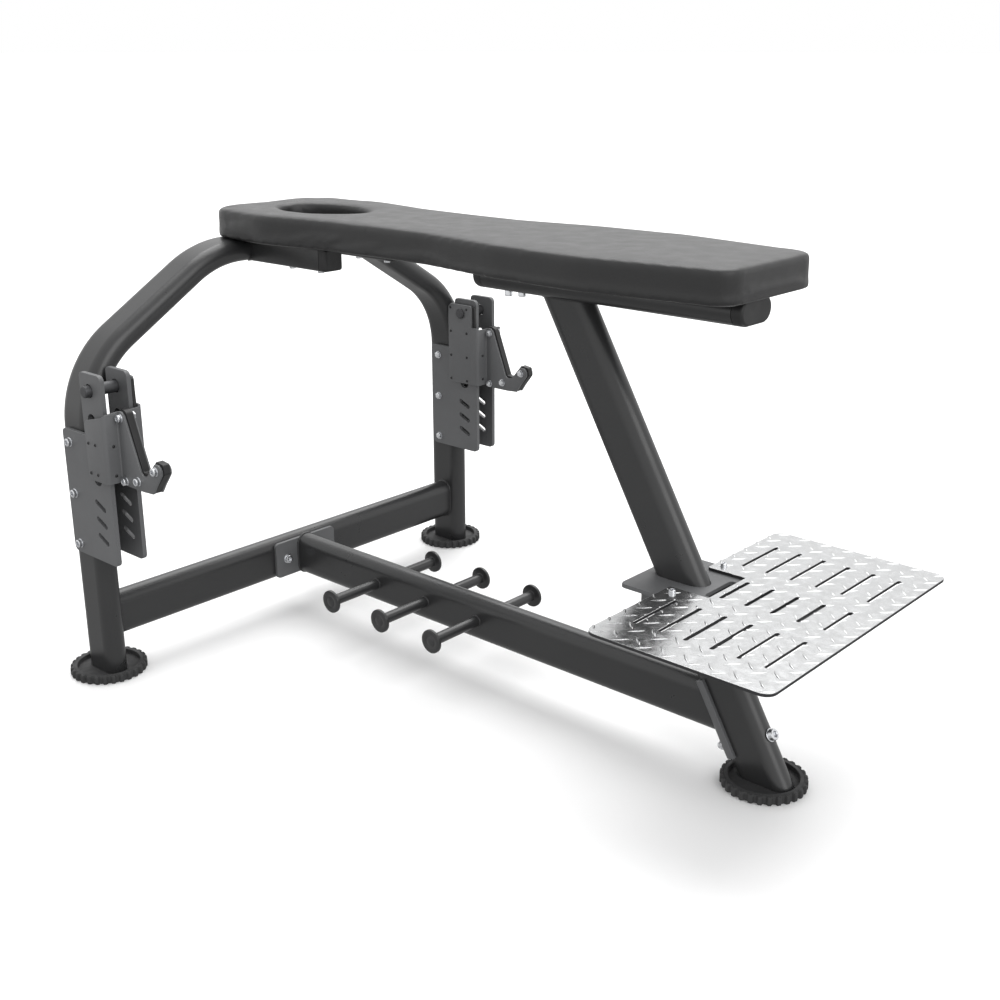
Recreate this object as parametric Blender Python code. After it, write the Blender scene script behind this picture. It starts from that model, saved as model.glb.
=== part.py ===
"""Prone row bench: a long padded top on a bent arch and a leaning rear post, with two swing-up bar hooks.

+X runs from the head end to the foot plate, +Y to the user's right as they lie face down, +Z up.
The origin is on the floor, at the middle of the whole machine's box. Metres throughout.
"""

import math

import bmesh
import bpy
import numpy as np
from mathutils import Matrix, Vector

GAP = 0.0003  # clearance between pieces that touch

# Flat-oval frame tube
TUBE_LONG = 0.100
TUBE_THIN = 0.050
TUBE_WALL = 0.003

# Arch, measured in the plane of the two legs
LEG_Y = 0.546
ARCH_BEND_START = 0.557
ARCH_LOWER_RADIUS = 0.212
ARCH_UPPER_RADIUS = 0.250
ARCH_SLOPE = math.radians(31.7)

# Pad and what carries it
PAD_UNDERSIDE = 0.909
PAD_TOP = 0.974
BOARD_THICK = 0.012
PAD_HEAD_X = -0.060
PAD_FOOT_X = 1.296
HEAD_CORNER = 0.078
FOOT_CORNER = 0.045
FACE_HOLE_X = 0.155
FACE_HOLE_SIZE = (0.236, 0.156)
RAIL_FRONT_X = 0.647
RAIL_REAR_X = 1.263
CAP_LENGTH = 0.022
SUPPORT_WIDTH = 0.050
SUPPORT_Y = 0.097
SUPPORT_END_X = 0.2725

# Low frame
CROSSBAR_Z = 0.127
FLANGE_WIDTH = 0.184
FLANGE_HEIGHT = 0.088
FLANGE_THICK = 0.008
FLANGE_BOLT_Y = 0.059
POST_FLOOR_X = 1.348
POST_LEAN = math.radians(30)
SADDLE_THICK = 0.008
SADDLE_SPAN = (0.069, 0.226)  # along the post from the floor
POST_BOLT_ALONG = 0.091

# Feet
FOOT_RADIUS = 0.082
FOOT_HEIGHT = 0.018
FOOT_TEETH = 28
TOOTH_DEPTH = 0.005
RECESS_RADIUS = 0.0665
RECESS_FLOOR = 0.008
REAR_FOOT_X = 1.338

# Foot plate
PLATE_X = (1.153, 1.516)
PLATE_HALF_WIDTH = 0.321
PLATE_TOP = 0.3677
PLATE_THICK = 0.006
NOTCH_DEPTH = 0.083
NOTCH_HALF_WIDTH = 0.063
SLOT_FIRST_X = 1.200
SLOT_PITCH = 0.052
SLOT_WIDTH = 0.008

# Band pegs
PEG_X = (0.313, 0.471, 0.628)
PEG_REACH = 0.166
PEG_RADIUS = 0.012
PEG_DISC_RADIUS = 0.026
PEG_DISC_THICK = 0.007

# Guide plates on the legs: x from the leg's centre, z from the floor
GUIDE_THICK = 0.010
GUIDE_REAR_X = -0.025
GUIDE_FRONT_X = 0.138
GUIDE_BOTTOM = 0.288
GUIDE_SHOULDER = 0.560
TONGUE_REAR_X = 0.062
TONGUE_TOP = 0.693
GUIDE_BOLT_Z = (0.309, 0.421, 0.533)

# Bar hook, hung on its pin
PIN_X = 0.094
PIN_Z = 0.657
PIN_RADIUS = 0.0127
PIN_HOLE_RADIUS = 0.014
PIN_HOLE_PITCH = 0.062
SHEET_THICK = 0.005
LINER_THICK = 0.006
FRONT_X = 0.147
HOOK_HALF_WIDTH = 0.01275
HOOK_BOLTS = ((0.163, 0.609), (0.163, 0.477), (0.2075, 0.486), (0.271, 0.520))

ARCH_X = (FOOT_RADIUS - PLATE_X[1]) / 2
ARCH_TOP_Z = PAD_UNDERSIDE - GAP - TUBE_THIN / 2
LINER_FACE = TUBE_THIN / 2 + GUIDE_THICK + 2 * GAP
WING_FACE = LINER_FACE + LINER_THICK + GAP

FINISHES = {
    "frame": ((0.030, 0.031, 0.033), 0.42, 0.0),
    "bracket": ((0.055, 0.057, 0.060), 0.55, 0.0),
    "rubber": ((0.018, 0.018, 0.019), 0.80, 0.0),
    "plastic": ((0.022, 0.022, 0.024), 0.50, 0.0),
    "vinyl": ((0.030, 0.030, 0.031), 0.55, 0.0),
    "board": ((0.35, 0.26, 0.17), 0.80, 0.0),
    "checker_plate": ((0.72, 0.73, 0.74), 0.30, 1.0),
    "zinc": ((0.75, 0.76, 0.78), 0.25, 1.0),
    "pin_steel": ((0.10, 0.10, 0.11), 0.45, 0.6),
}


def finish(name):
    """The named finish as a material, made once."""
    found = bpy.data.materials.get(name)
    if found:
        return found
    colour, roughness, metallic = FINISHES[name]
    made = bpy.data.materials.new(name)
    made.use_nodes = True
    shader = made.node_tree.nodes["Principled BSDF"]
    shader.inputs["Base Color"].default_value = (*colour, 1)
    shader.inputs["Roughness"].default_value = roughness
    shader.inputs["Metallic"].default_value = metallic
    return made


def solid(name, points, faces, material, parent=None, at=(0, 0, 0)):
    """A closed mesh as an object, its faces turned outwards and its round parts shaded smooth."""
    shape = bmesh.new()
    corners = [shape.verts.new(point) for point in points]
    for face in faces:
        shape.faces.new([corners[i] for i in face])
    bmesh.ops.recalc_face_normals(shape, faces=shape.faces)
    mesh = bpy.data.meshes.new(name)
    shape.to_mesh(mesh)
    shape.free()
    mesh.shade_smooth()
    mesh.set_sharp_from_angle(angle=math.radians(40))
    if material:
        mesh.materials.append(finish(material))
    made = bpy.data.objects.new(name, mesh)
    made.location = at
    made.parent = parent
    bpy.context.scene.collection.objects.link(made)
    return made


def loft(rings, inner=None):
    """Points and faces of equal rings joined in turn: a pipe with inner rings, a solid bar without."""
    count = len(rings[0])
    points = [tuple(point) for ring in rings for point in ring]
    faces = []
    around = [(j, (j + 1) % count) for j in range(count)]
    for i in range(len(rings) - 1):
        for j, k in around:
            faces.append((i * count + j, i * count + k, (i + 1) * count + k, (i + 1) * count + j))
    last = (len(rings) - 1) * count
    if inner is None:
        faces.append(tuple(range(count)))
        faces.append(tuple(range(last, last + count)))
        return points, faces
    base = len(points)
    points += [tuple(point) for ring in inner for point in ring]
    for i in range(len(inner) - 1):
        for j, k in around:
            start, end = base + i * count, base + (i + 1) * count
            faces.append((start + j, start + k, end + k, end + j))
    for j, k in around:
        faces.append((j, k, base + k, base + j))
        faces.append((last + j, last + k, base + last + k, base + last + j))
    return points, faces


def joined(shapes):
    """Several point and face lists as one."""
    points, faces = [], []
    for some_points, some_faces in shapes:
        faces += [tuple(i + len(points) for i in face) for face in some_faces]
        points += some_points
    return points, faces


def flat_oval(long, thin, steps=9):
    """Outline with two straight sides and half-round ends, long along the first coordinate."""
    radius = thin / 2
    half = long / 2 - radius
    turn = np.linspace(-math.pi / 2, math.pi / 2, steps)
    first = np.column_stack([half + radius * np.cos(turn), radius * np.sin(turn)])
    return np.vstack([first, -first])


def circle(radius, steps=16):
    turn = np.linspace(0, 2 * math.pi, steps, endpoint=False)
    return np.column_stack([radius * np.cos(turn), radius * np.sin(turn)])


def rounded(corners, steps=4):
    """Outline of a polygon whose corners are (a, b, radius), each radius drawn as an arc."""
    outline = []
    for i, (a, b, radius) in enumerate(corners):
        here = Vector((a, b))
        if radius == 0:
            outline.append(here)
            continue
        back = (Vector(corners[i - 1][:2]) - here).normalized()
        ahead = (Vector(corners[(i + 1) % len(corners)][:2]) - here).normalized()
        half = back.angle(ahead) / 2
        centre = here + (back + ahead).normalized() * radius / math.sin(half)
        start = here + back * radius / math.tan(half) - centre
        end = here + ahead * radius / math.tan(half) - centre
        turn = start.angle_signed(end)
        for step in range(steps + 1):
            outline.append(centre + Matrix.Rotation(-turn * step / steps, 2) @ start)
    return np.array(outline)


def extruded(outline, axis, low, high):
    """A flat outline carried along an axis. The outline is (Y, Z) for X, (X, Z) for Y and (X, Y) for Z."""
    rings = []
    for along in (low, high):
        rings.append(np.insert(np.asarray(outline, float), "XYZ".index(axis), along, axis=1))
    return loft(rings)


def turned(profile, axis, at, steps=16):
    """A profile of (distance along the axis, radius) spun round an axis through the point at."""
    ring = circle(1, steps)
    rings = []
    for along, radius in profile:
        rings.append(np.insert(ring * radius, "XYZ".index(axis), along, axis=1) + at)
    return loft(rings)


def cut(target, name, shapes):
    """Takes shapes out of the target with one hidden cutter."""
    cutter = solid(name, *joined(shapes), None, target.parent, target.location)
    cutter.hide_render = True
    cutter.display_type = "WIRE"
    boolean = target.modifiers.new(name, "BOOLEAN")
    boolean.operation = "DIFFERENCE"
    boolean.object = cutter


def through_bolt(name, axis, nut_face, head_face, at, parent, head=0.0085):
    """Cap-head bolt and its nut clamping two faces, given as distances from the point at along the axis."""
    way = 1 if head_face > nut_face else -1
    profile = [
        (nut_face - way * 0.008, head * 0.85),
        (nut_face - way * GAP, head * 0.95),
        (nut_face - way * GAP, head * 0.58),
        (head_face + way * GAP, head * 0.58),
        (head_face + way * GAP, head),
        (head_face + way * 0.007, head),
        (head_face + way * 0.009, head * 0.8),
    ]
    solid(name, *turned(profile, axis, at, 10), "zinc", parent)


def arch_stations():
    """Middle line of the arch as (y, z, tangent y, tangent z), from the left foot to the right."""
    half = [(-LEG_Y, RECESS_FLOOR + GAP, 0.0, 1.0), (-LEG_Y, ARCH_BEND_START, 0.0, 1.0)]
    full_turn = math.pi / 2 - ARCH_SLOPE
    for turn in np.linspace(0, full_turn, 6)[1:]:
        y = -LEG_Y + ARCH_LOWER_RADIUS * (1 - math.cos(turn))
        z = ARCH_BEND_START + ARCH_LOWER_RADIUS * math.sin(turn)
        half.append((y, z, math.sin(turn), math.cos(turn)))
    y, z = half[-1][:2]
    rise = ARCH_TOP_Z - ARCH_UPPER_RADIUS * (1 - math.cos(ARCH_SLOPE)) - z
    y += rise / math.tan(ARCH_SLOPE)
    z += rise
    for slope in np.linspace(ARCH_SLOPE, 0, 5):
        out = y + ARCH_UPPER_RADIUS * (math.sin(ARCH_SLOPE) - math.sin(slope))
        up = z + ARCH_UPPER_RADIUS * (math.cos(slope) - math.cos(ARCH_SLOPE))
        half.append((out, up, math.cos(slope), math.sin(slope)))
    other = [(-y, z, ty, -tz) for y, z, ty, tz in reversed(half)]
    return half + other


def arch_rings(section):
    rings = []
    for y, z, ty, tz in arch_stations():
        rings.append([(a, y - b * tz, z + b * ty) for a, b in section])
    return rings


def leg_bolt_holes(way):
    """Round cutters across one leg, one at each guide plate bolt."""
    reach = [(-0.06, 0.0055), (0.06, 0.0055)]
    return [turned(reach, "Y", (0, way * LEG_Y, height), 10) for height in GUIDE_BOLT_Z]


def arch(machine):
    """Both legs and the top as one bent tube, its long side along X."""
    outer = flat_oval(TUBE_LONG, TUBE_THIN)
    inner = flat_oval(TUBE_LONG - 2 * TUBE_WALL, TUBE_THIN - 2 * TUBE_WALL)
    tube = solid("arch_tube", *loft(arch_rings(outer), arch_rings(inner)), "frame", machine)
    cut(tube, "arch_bolt_holes", leg_bolt_holes(-1) + leg_bolt_holes(1))


def straight_tube(name, axis, low, high, centre, upright, machine):
    """Flat-oval pipe along X or Y; upright puts its long side along Z."""
    rings = []
    for section in (
        flat_oval(TUBE_LONG, TUBE_THIN),
        flat_oval(TUBE_LONG - 2 * TUBE_WALL, TUBE_THIN - 2 * TUBE_WALL),
    ):
        across = section[:, ::-1] if upright else section
        pair = []
        for along in (low, high):
            pair.append(np.insert(across, "XYZ".index(axis), along, axis=1) + centre)
        rings.append(pair)
    return solid(name, *loft(*rings), "frame", machine)


def crossbar(machine):
    reach = LEG_Y - TUBE_THIN / 2 - GAP
    bar = straight_tube("crossbar", "Y", -reach, reach, (0, 0, CROSSBAR_Z), True, machine)
    holes = []
    for y in (-FLANGE_BOLT_Y, FLANGE_BOLT_Y):
        holes.append(turned([(-0.04, 0.0062), (0.04, 0.0062)], "X", (0, y, CROSSBAR_Z), 10))
    cut(bar, "crossbar_bolt_holes", holes)


def spine_front_flange(machine):
    """Flat plate on the crossbar's front face, bolted each side of the spine."""
    y, z = FLANGE_WIDTH / 2, FLANGE_HEIGHT / 2
    outline = rounded([(-y, -z, 0.01), (y, -z, 0.01), (y, z, 0.01), (-y, z, 0.01)])
    rear = TUBE_THIN / 2 + GAP
    face = rear + FLANGE_THICK
    plate = solid(
        "spine_front_flange",
        *extruded(outline + (0, CROSSBAR_Z), "X", rear, face),
        "bracket",
        machine,
    )
    holes = []
    for side, y in (("left", -FLANGE_BOLT_Y), ("right", FLANGE_BOLT_Y)):
        holes.append(turned([(-0.04, 0.0062), (0.06, 0.0062)], "X", (0, y, CROSSBAR_Z), 10))
        through_bolt(f"{side}_flange_bolt", "X", -rear, face, (0, y, CROSSBAR_Z), machine, 0.0095)
    cut(plate, "flange_holes", holes)


def post_ring(section, z):
    """The post's level cut at height z: the section stretched along X by the lean."""
    x = POST_FLOOR_X - z * math.tan(POST_LEAN)
    return [(x + a / math.cos(POST_LEAN), b, z) for a, b in section]


def post_normal(x, z):
    """A point of the post's own frame, x across it and z along it, as world X and Z."""
    c, s = math.cos(POST_LEAN), math.sin(POST_LEAN)
    return POST_FLOOR_X + x * c - z * s, x * s + z * c


def slanted(section, low, high):
    """A section across the post carried along its lean."""
    rings = []
    for along in (low, high):
        ring = []
        for a, b in section:
            x, z = post_normal(a, along)
            ring.append((x, b, z))
        rings.append(ring)
    return rings


def post_bolt_hole(radius):
    rings = []
    for across in (-0.1, 0.1):
        ring = []
        for a, b in circle(radius, 10):
            x, z = post_normal(across, POST_BOLT_ALONG + a)
            ring.append((x, b, z))
        rings.append(ring)
    return loft(rings)


def rear_post(machine):
    """One leaning tube from the rear foot to the rail, its ends cut level."""
    outer = flat_oval(TUBE_LONG, TUBE_THIN)
    inner = flat_oval(TUBE_LONG - 2 * TUBE_WALL, TUBE_THIN - 2 * TUBE_WALL)
    low, high = RECESS_FLOOR + GAP, PAD_UNDERSIDE - TUBE_THIN - 2 * GAP
    outer_rings = [post_ring(outer, z) for z in (low, high)]
    inner_rings = [post_ring(inner, z) for z in (low, high)]
    post = solid("rear_post", *loft(outer_rings, inner_rings), "frame", machine)
    cut(post, "post_bolt_hole", [post_bolt_hole(0.0062)])


def post_bolt(machine):
    """Through-bolt across the post, its head behind and its nut in front."""
    front = -TUBE_LONG / 2 - SADDLE_THICK - 2 * GAP
    rear = TUBE_LONG / 2
    profile = [(front - 0.016, 0.0055), (front - 0.010, 0.0055), (front - 0.010, 0.0105)]
    profile += [(front - GAP, 0.0105), (front - GAP, 0.0055), (rear + GAP, 0.0055)]
    profile += [(rear + GAP, 0.011), (rear + 0.009, 0.011), (rear + 0.011, 0.009)]
    rings = []
    for across, radius in profile:
        ring = []
        for a, b in circle(radius, 10):
            x, z = post_normal(across, POST_BOLT_ALONG + a)
            ring.append((x, b, z))
        rings.append(ring)
    solid("post_bolt", *loft(rings), "zinc", machine)


def spine_rear_saddle(machine):
    """Half-round plate that hugs the front of the post."""
    radius = TUBE_THIN / 2 + GAP
    middle = -(TUBE_LONG - TUBE_THIN) / 2
    turn = np.linspace(math.pi / 2, 3 * math.pi / 2, 9)
    inside = np.column_stack([middle + radius * np.cos(turn), radius * np.sin(turn)])
    outside = radius + SADDLE_THICK
    hull = np.column_stack([middle + outside * np.cos(turn), outside * np.sin(turn)])
    section = np.vstack([inside, hull[::-1]])
    rings = slanted(section, *SADDLE_SPAN)
    saddle = solid("spine_rear_saddle", *loft(rings), "bracket", machine)
    cut(saddle, "saddle_bolt_hole", [post_bolt_hole(0.0062)])


def spine(machine):
    """Straight tube from the flange to the saddle, its rear end shaped to the saddle."""
    front = TUBE_THIN / 2 + FLANGE_THICK + 2 * GAP
    tube = straight_tube("spine_tube", "X", front, POST_FLOOR_X, (0, 0, CROSSBAR_Z), True, machine)
    grown = 2 * (SADDLE_THICK + 2 * GAP)
    room = flat_oval(TUBE_LONG + grown, TUBE_THIN + grown)
    room[:, 0] = np.where(room[:, 0] > 0, room[:, 0] + 0.15, room[:, 0])
    cut(tube, "spine_end_cut", [loft(slanted(room, -0.1, 0.4))])


def rail(machine):
    """Tube lying flat under the pad, closed by a plastic cap at each end."""
    z = PAD_UNDERSIDE - GAP - TUBE_THIN / 2
    low, high = RAIL_FRONT_X + CAP_LENGTH, RAIL_REAR_X - CAP_LENGTH
    straight_tube("pad_rail", "X", low, high, (0, 0, z), False, machine)
    for name, end, way in (("rail_front_cap", low, -1), ("rail_rear_cap", high, 1)):
        rings = []
        for along, shrink in ((GAP, 0), (CAP_LENGTH - 0.004, 0), (CAP_LENGTH, 0.004)):
            section = flat_oval(TUBE_LONG - 2 * shrink, TUBE_THIN - 2 * shrink)
            rings.append(np.insert(section, 0, end + way * along, axis=1) + (0, 0, z))
        solid(name, *loft(rings), "plastic", machine)


def head_supports(machine):
    """Rectangular tubes from the arch, one each side of the face hole, closed by plastic caps."""
    top = PAD_UNDERSIDE - GAP
    low = top - TUBE_THIN
    for side, way in (("left", -1), ("right", 1)):
        y = way * SUPPORT_Y
        half, tall = SUPPORT_WIDTH / 2, TUBE_THIN / 2
        shapes = []
        for wall in (0, TUBE_WALL):
            a, b = half - wall, tall - wall
            radius = 0.006 - wall
            corners = [(-a, -b, radius), (a, -b, radius), (a, b, radius), (-a, b, radius)]
            outline = rounded(corners, 3) + (y, (top + low) / 2)
            shapes.append([np.insert(outline, 0, x, axis=1) for x in (0.01, SUPPORT_END_X)])
        tube = solid(f"{side}_head_support", *loft(*shapes), "frame", machine)
        grown = flat_oval(TUBE_LONG + 2 * GAP, TUBE_THIN + 4 * GAP, 17)
        grown[:, 0] = np.where(grown[:, 0] < 0, grown[:, 0] - 0.05, grown[:, 0])
        room = extruded(grown + (0, ARCH_TOP_Z), "Y", y - 0.06, y + 0.06)
        cut(tube, f"{side}_support_cope", [room])
        ends = []
        for along, shrink in ((GAP, 0), (CAP_LENGTH - 0.004, 0), (CAP_LENGTH, 0.004)):
            a, b = half - shrink, tall - shrink
            corners = [(-a, -b, 0.006), (a, -b, 0.006), (a, b, 0.006), (-a, b, 0.006)]
            outline = rounded(corners, 3) + (y, (top + low) / 2)
            ends.append(np.insert(outline, 0, SUPPORT_END_X + along, axis=1))
        solid(f"{side}_support_cap", *loft(ends), "plastic", machine)


def pad_half_width(x):
    """Half the pad's width at x: wide at the head, waisted, widest at the hips and narrower at the foot end."""
    stations = (0.01, 0.15, 0.33, 0.48, 0.62, 0.80, 1.00, 1.255)
    widths = (0.165, 0.180, 0.149, 0.143, 0.144, 0.174, 0.183, 0.146)
    return np.interp(x, stations, widths)


def pad_outline(inset):
    """Plan outline of the pad, each corner an arc, brought in by inset."""
    side = []
    for end, way, corner, turns in (
        (PAD_HEAD_X, 1, HEAD_CORNER, np.linspace(math.pi, math.pi / 2, 6)),
        (PAD_FOOT_X, -1, FOOT_CORNER, np.linspace(math.pi / 2, 0, 5)),
    ):
        x = end + way * corner
        y = pad_half_width(x) - corner
        reach = corner - inset
        if way < 0:
            between = np.linspace(side[-1][0], x, 17)[1:-1]
            side += [(along, pad_half_width(along) - inset) for along in between]
        side += [(x + reach * math.cos(turn), y + reach * math.sin(turn)) for turn in turns]
    side = np.array(side)
    return np.vstack([side, side[::-1] * (1, -1)])


def face_hole(inset):
    """The oval opening for the face, its outline grown by inset."""
    turn = np.linspace(0, 2 * math.pi, 28, endpoint=False)
    long, wide = (size / 2 + inset for size in FACE_HOLE_SIZE)
    return np.column_stack([FACE_HOLE_X + long * np.cos(turn), wide * np.sin(turn)])


def pad(machine):
    """Plywood board under a foam cushion, both with the face hole through them."""
    low = PAD_UNDERSIDE
    board = solid(
        "pad_board",
        *extruded(pad_outline(0.006), "Z", low, low + BOARD_THICK),
        "board",
        machine,
    )
    cut(board, "board_hole", [extruded(face_hole(0.004), "Z", low - 0.02, low + 0.05)])
    base = low + BOARD_THICK + GAP
    rings = []
    for z, inset in ((base, 0), (PAD_TOP - 0.014, 0), (PAD_TOP - 0.004, 0.005), (PAD_TOP, 0.014)):
        rings.append(np.insert(pad_outline(inset), 2, z, axis=1))
    cushion = solid("pad_cushion", *loft(rings), "vinyl", machine)
    cut(cushion, "cushion_hole", [extruded(face_hole(0), "Z", low - 0.02, PAD_TOP + 0.02)])


def foot_plate(machine):
    """Tread plate with a notch for the post and three rows of slots."""
    rear, front = PLATE_X[1], PLATE_X[0]
    y, half = PLATE_HALF_WIDTH, NOTCH_HALF_WIDTH
    inner = front + NOTCH_DEPTH
    outline = rounded(
        [
            (front, -y, 0.022),
            (rear, -y, 0.022),
            (rear, y, 0.022),
            (front, y, 0.022),
            (front, half, 0.003),
            (inner, half, 0.003),
            (inner, -half, 0.003),
            (front, -half, 0.003),
        ]
    )
    low = PLATE_TOP - PLATE_THICK
    plate = solid("foot_plate", *extruded(outline, "Z", low, PLATE_TOP), "checker_plate", machine)
    slots = []
    for row_y, length, start in ((-0.175, 0.130, 0), (0, 0.098, 1), (0.175, 0.130, 0)):
        for i in range(start, 6):
            middle = (SLOT_FIRST_X + i * SLOT_PITCH, row_y)
            slot = flat_oval(length, SLOT_WIDTH, 5)[:, ::-1] + middle
            slots.append(extruded(slot, "Z", low - 0.01, PLATE_TOP + 0.01))
    cut(plate, "plate_slots", slots)


def foot_plate_bracket(machine):
    """Steel saddle plate round the post with two ribs, which the foot plate is screwed down on."""
    top = PLATE_TOP - PLATE_THICK - GAP
    low = top - 0.008
    corners = [(1.065, -0.10, 0.01), (1.40, -0.10, 0.01), (1.40, 0.10, 0.01), (1.065, 0.10, 0.01)]
    plate = extruded(rounded(corners, 2), "Z", low, top)
    bracket = solid("foot_plate_bracket", *plate, "bracket", machine)
    ribs = []
    for y in (-0.062, 0.062):
        rib = [(1.09, -0.050), (1.20, -0.050), (1.385, -0.012), (1.385, 0.003), (1.09, 0.003)]
        ribs.append(extruded(np.array(rib) + (0, low), "Y", y - 0.003, y + 0.003))
    ribs_object = solid("bracket_ribs", *joined(ribs), None, machine)
    ribs_object.hide_render = True
    ribs_object.display_type = "WIRE"
    union = bracket.modifiers.new("ribs", "BOOLEAN")
    union.operation = "UNION"
    union.object = ribs_object
    room = flat_oval(TUBE_LONG + 2 * GAP, TUBE_THIN + 2 * GAP)
    window = [(1.215, -0.045, 0.006), (1.30, -0.045, 0.006), (1.30, 0.045, 0.006), (1.215, 0.045, 0.006)]
    holes = [loft([post_ring(room, z) for z in (low - 0.1, top + 0.02)])]
    holes.append(extruded(rounded(window, 2), "Z", low - 0.02, top + 0.02))
    cut(bracket, "bracket_openings", holes)


def foot(name, x, y, machine):
    """Rubber foot with a toothed rim and a recess that takes the tube's end."""
    turn = np.linspace(0, 2 * math.pi, FOOT_TEETH * 2, endpoint=False)
    reach = np.where(np.arange(len(turn)) % 2 == 0, FOOT_RADIUS, FOOT_RADIUS - TOOTH_DEPTH)
    rim = np.column_stack([reach * np.cos(turn), reach * np.sin(turn)]) + (x, y)
    inner = circle(RECESS_RADIUS, len(turn)) + (x, y)
    rings = [np.insert(rim, 2, z, axis=1) for z in (0, FOOT_HEIGHT)]
    rings += [np.insert(inner, 2, z, axis=1) for z in (FOOT_HEIGHT, RECESS_FLOOR)]
    solid(name, *loft(rings), "rubber", machine)


def band_peg(name, x, way, machine):
    """Steel peg on the spine's side with an end disc."""
    start = TUBE_THIN / 2 + GAP
    face = PEG_REACH - PEG_DISC_THICK
    profile = [
        (way * start, PEG_RADIUS),
        (way * face, PEG_RADIUS),
        (way * face, PEG_DISC_RADIUS),
        (way * PEG_REACH, PEG_DISC_RADIUS),
    ]
    solid(name, *turned(profile, "Y", (x, 0, CROSSBAR_Z), 16), "frame", machine)


def guide_outline():
    """Side view of a guide plate: a wide part bolted to the leg and a taller tongue in front of it."""
    return rounded(
        [
            (GUIDE_REAR_X, GUIDE_BOTTOM, 0.014),
            (GUIDE_FRONT_X, GUIDE_BOTTOM, 0.012),
            (GUIDE_FRONT_X, TONGUE_TOP, 0.012),
            (TONGUE_REAR_X, TONGUE_TOP, 0.010),
            (TONGUE_REAR_X, GUIDE_SHOULDER, 0.004),
            (GUIDE_REAR_X, GUIDE_SHOULDER, 0.010),
        ]
    )


def guide_holes(y):
    """Pin holes in a column, the slanted slots below them, and the leg bolts' holes."""
    holes = []
    for i in range(4):
        middle = (PIN_X, y, PIN_Z - i * PIN_HOLE_PITCH)
        holes.append(turned([(-0.03, PIN_HOLE_RADIUS), (0.03, PIN_HOLE_RADIUS)], "Y", middle, 16))
    tilt = Matrix.Rotation(math.radians(25), 2)
    for z in (0.413, 0.376, 0.339):
        slot = flat_oval(0.040, 0.011, 4) @ np.array(tilt) + (PIN_X - 0.001, z)
        holes.append(extruded(slot, "Y", y - 0.03, y + 0.03))
    return holes


def guide_plates(machine):
    """Two plates on each leg, one each side, with three bolts through all."""
    for side, way in (("left", -1), ("right", 1)):
        for place, out in (("outer", 1), ("inner", -1)):
            near = TUBE_THIN / 2 + GAP
            y = way * (LEG_Y + out * near)
            far = y + way * out * GUIDE_THICK
            name = f"{side}_{place}_guide_plate"
            plate = solid(name, *extruded(guide_outline(), "Y", y, far), "bracket", machine)
            cut(plate, f"{name}_holes", guide_holes(y) + leg_bolt_holes(way))
        reach = TUBE_THIN / 2 + GUIDE_THICK + GAP
        for i, z in enumerate(GUIDE_BOLT_Z):
            name = f"{side}_guide_bolt_{i + 1}"
            through_bolt(name, "Y", -way * reach, way * reach, (0, way * LEG_Y, z), machine)


def bent_path(half_width, face, thick, start_x, front_x, tip_x):
    """Middle line of a bent sheet as (x, w, normal x, normal w), w measured from the leg's middle plane.

    It runs along the wing, round to the front face and on along the cheek, or stops on the front with no tip_x."""
    wing = face + thick / 2
    front = front_x + thick / 2
    bend = 0.006
    path = [(start_x, wing, 0, 1), (start_x + 0.008, wing, 0, 1), (front - bend, wing, 0, 1)]
    for turn in np.linspace(0, math.pi / 2, 4)[1:]:
        s, c = math.sin(turn), math.cos(turn)
        path.append((front - bend * (1 - s), wing - bend * (1 - c), s, c))
    if tip_x is None:
        path.append((front, half_width, 1, 0))
        return path
    cheek = half_width - thick / 2
    path.append((front, cheek + bend, 1, 0))
    for turn in np.linspace(math.pi / 2, 0, 4)[1:]:
        s, c = math.sin(turn), math.cos(turn)
        path.append((front + bend * (1 - s), cheek + bend * (1 - c), s, c))
    for x in tip_x:
        path.append((x, cheek, 0, 1))
    return path


def sheet_rings(path, edges, thick, way, out):
    """Rings across a bent sheet: its two faces between the lower and upper edge at each station."""
    rings = []
    for (x, w, nx, nw), (low, high) in zip(path, edges):
        ring = []
        for side, z in ((-1, low), (-1, high), (1, high), (1, low)):
            across = w + side * nw * thick / 2
            ring.append((x + side * nx * thick / 2 - PIN_X, way * out * across, z - PIN_Z))
        rings.append(ring)
    return rings


CHEEK = (
    (0.158, 0.468, 0.622),
    (0.167, 0.467, 0.622),
    (0.175, 0.467, 0.615),
    (0.217, 0.467, 0.507),
    (0.225, 0.467, 0.500),
    (0.238, 0.468, 0.502),
    (0.2555, 0.469, 0.520),
    (0.268, 0.487, 0.534),
    (0.280, 0.502, 0.534),
    (0.286, 0.510, 0.530),
    (0.289, 0.514, 0.524),
)


def hook_bolt_holes(radius):
    holes = []
    for x, z in HOOK_BOLTS:
        holes.append(turned([(-0.03, radius), (0.03, radius)], "Y", (x - PIN_X, 0, z - PIN_Z), 10))
    return holes


def inner_pin_hole(way):
    """Round cutter on the pin's axis that reaches only the inner side of the leg."""
    near, far = (-0.06, 0) if way > 0 else (0, 0.06)
    return turned([(near, 0.0132), (far, 0.0132)], "Y", (0, 0, 0), 16)


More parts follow.
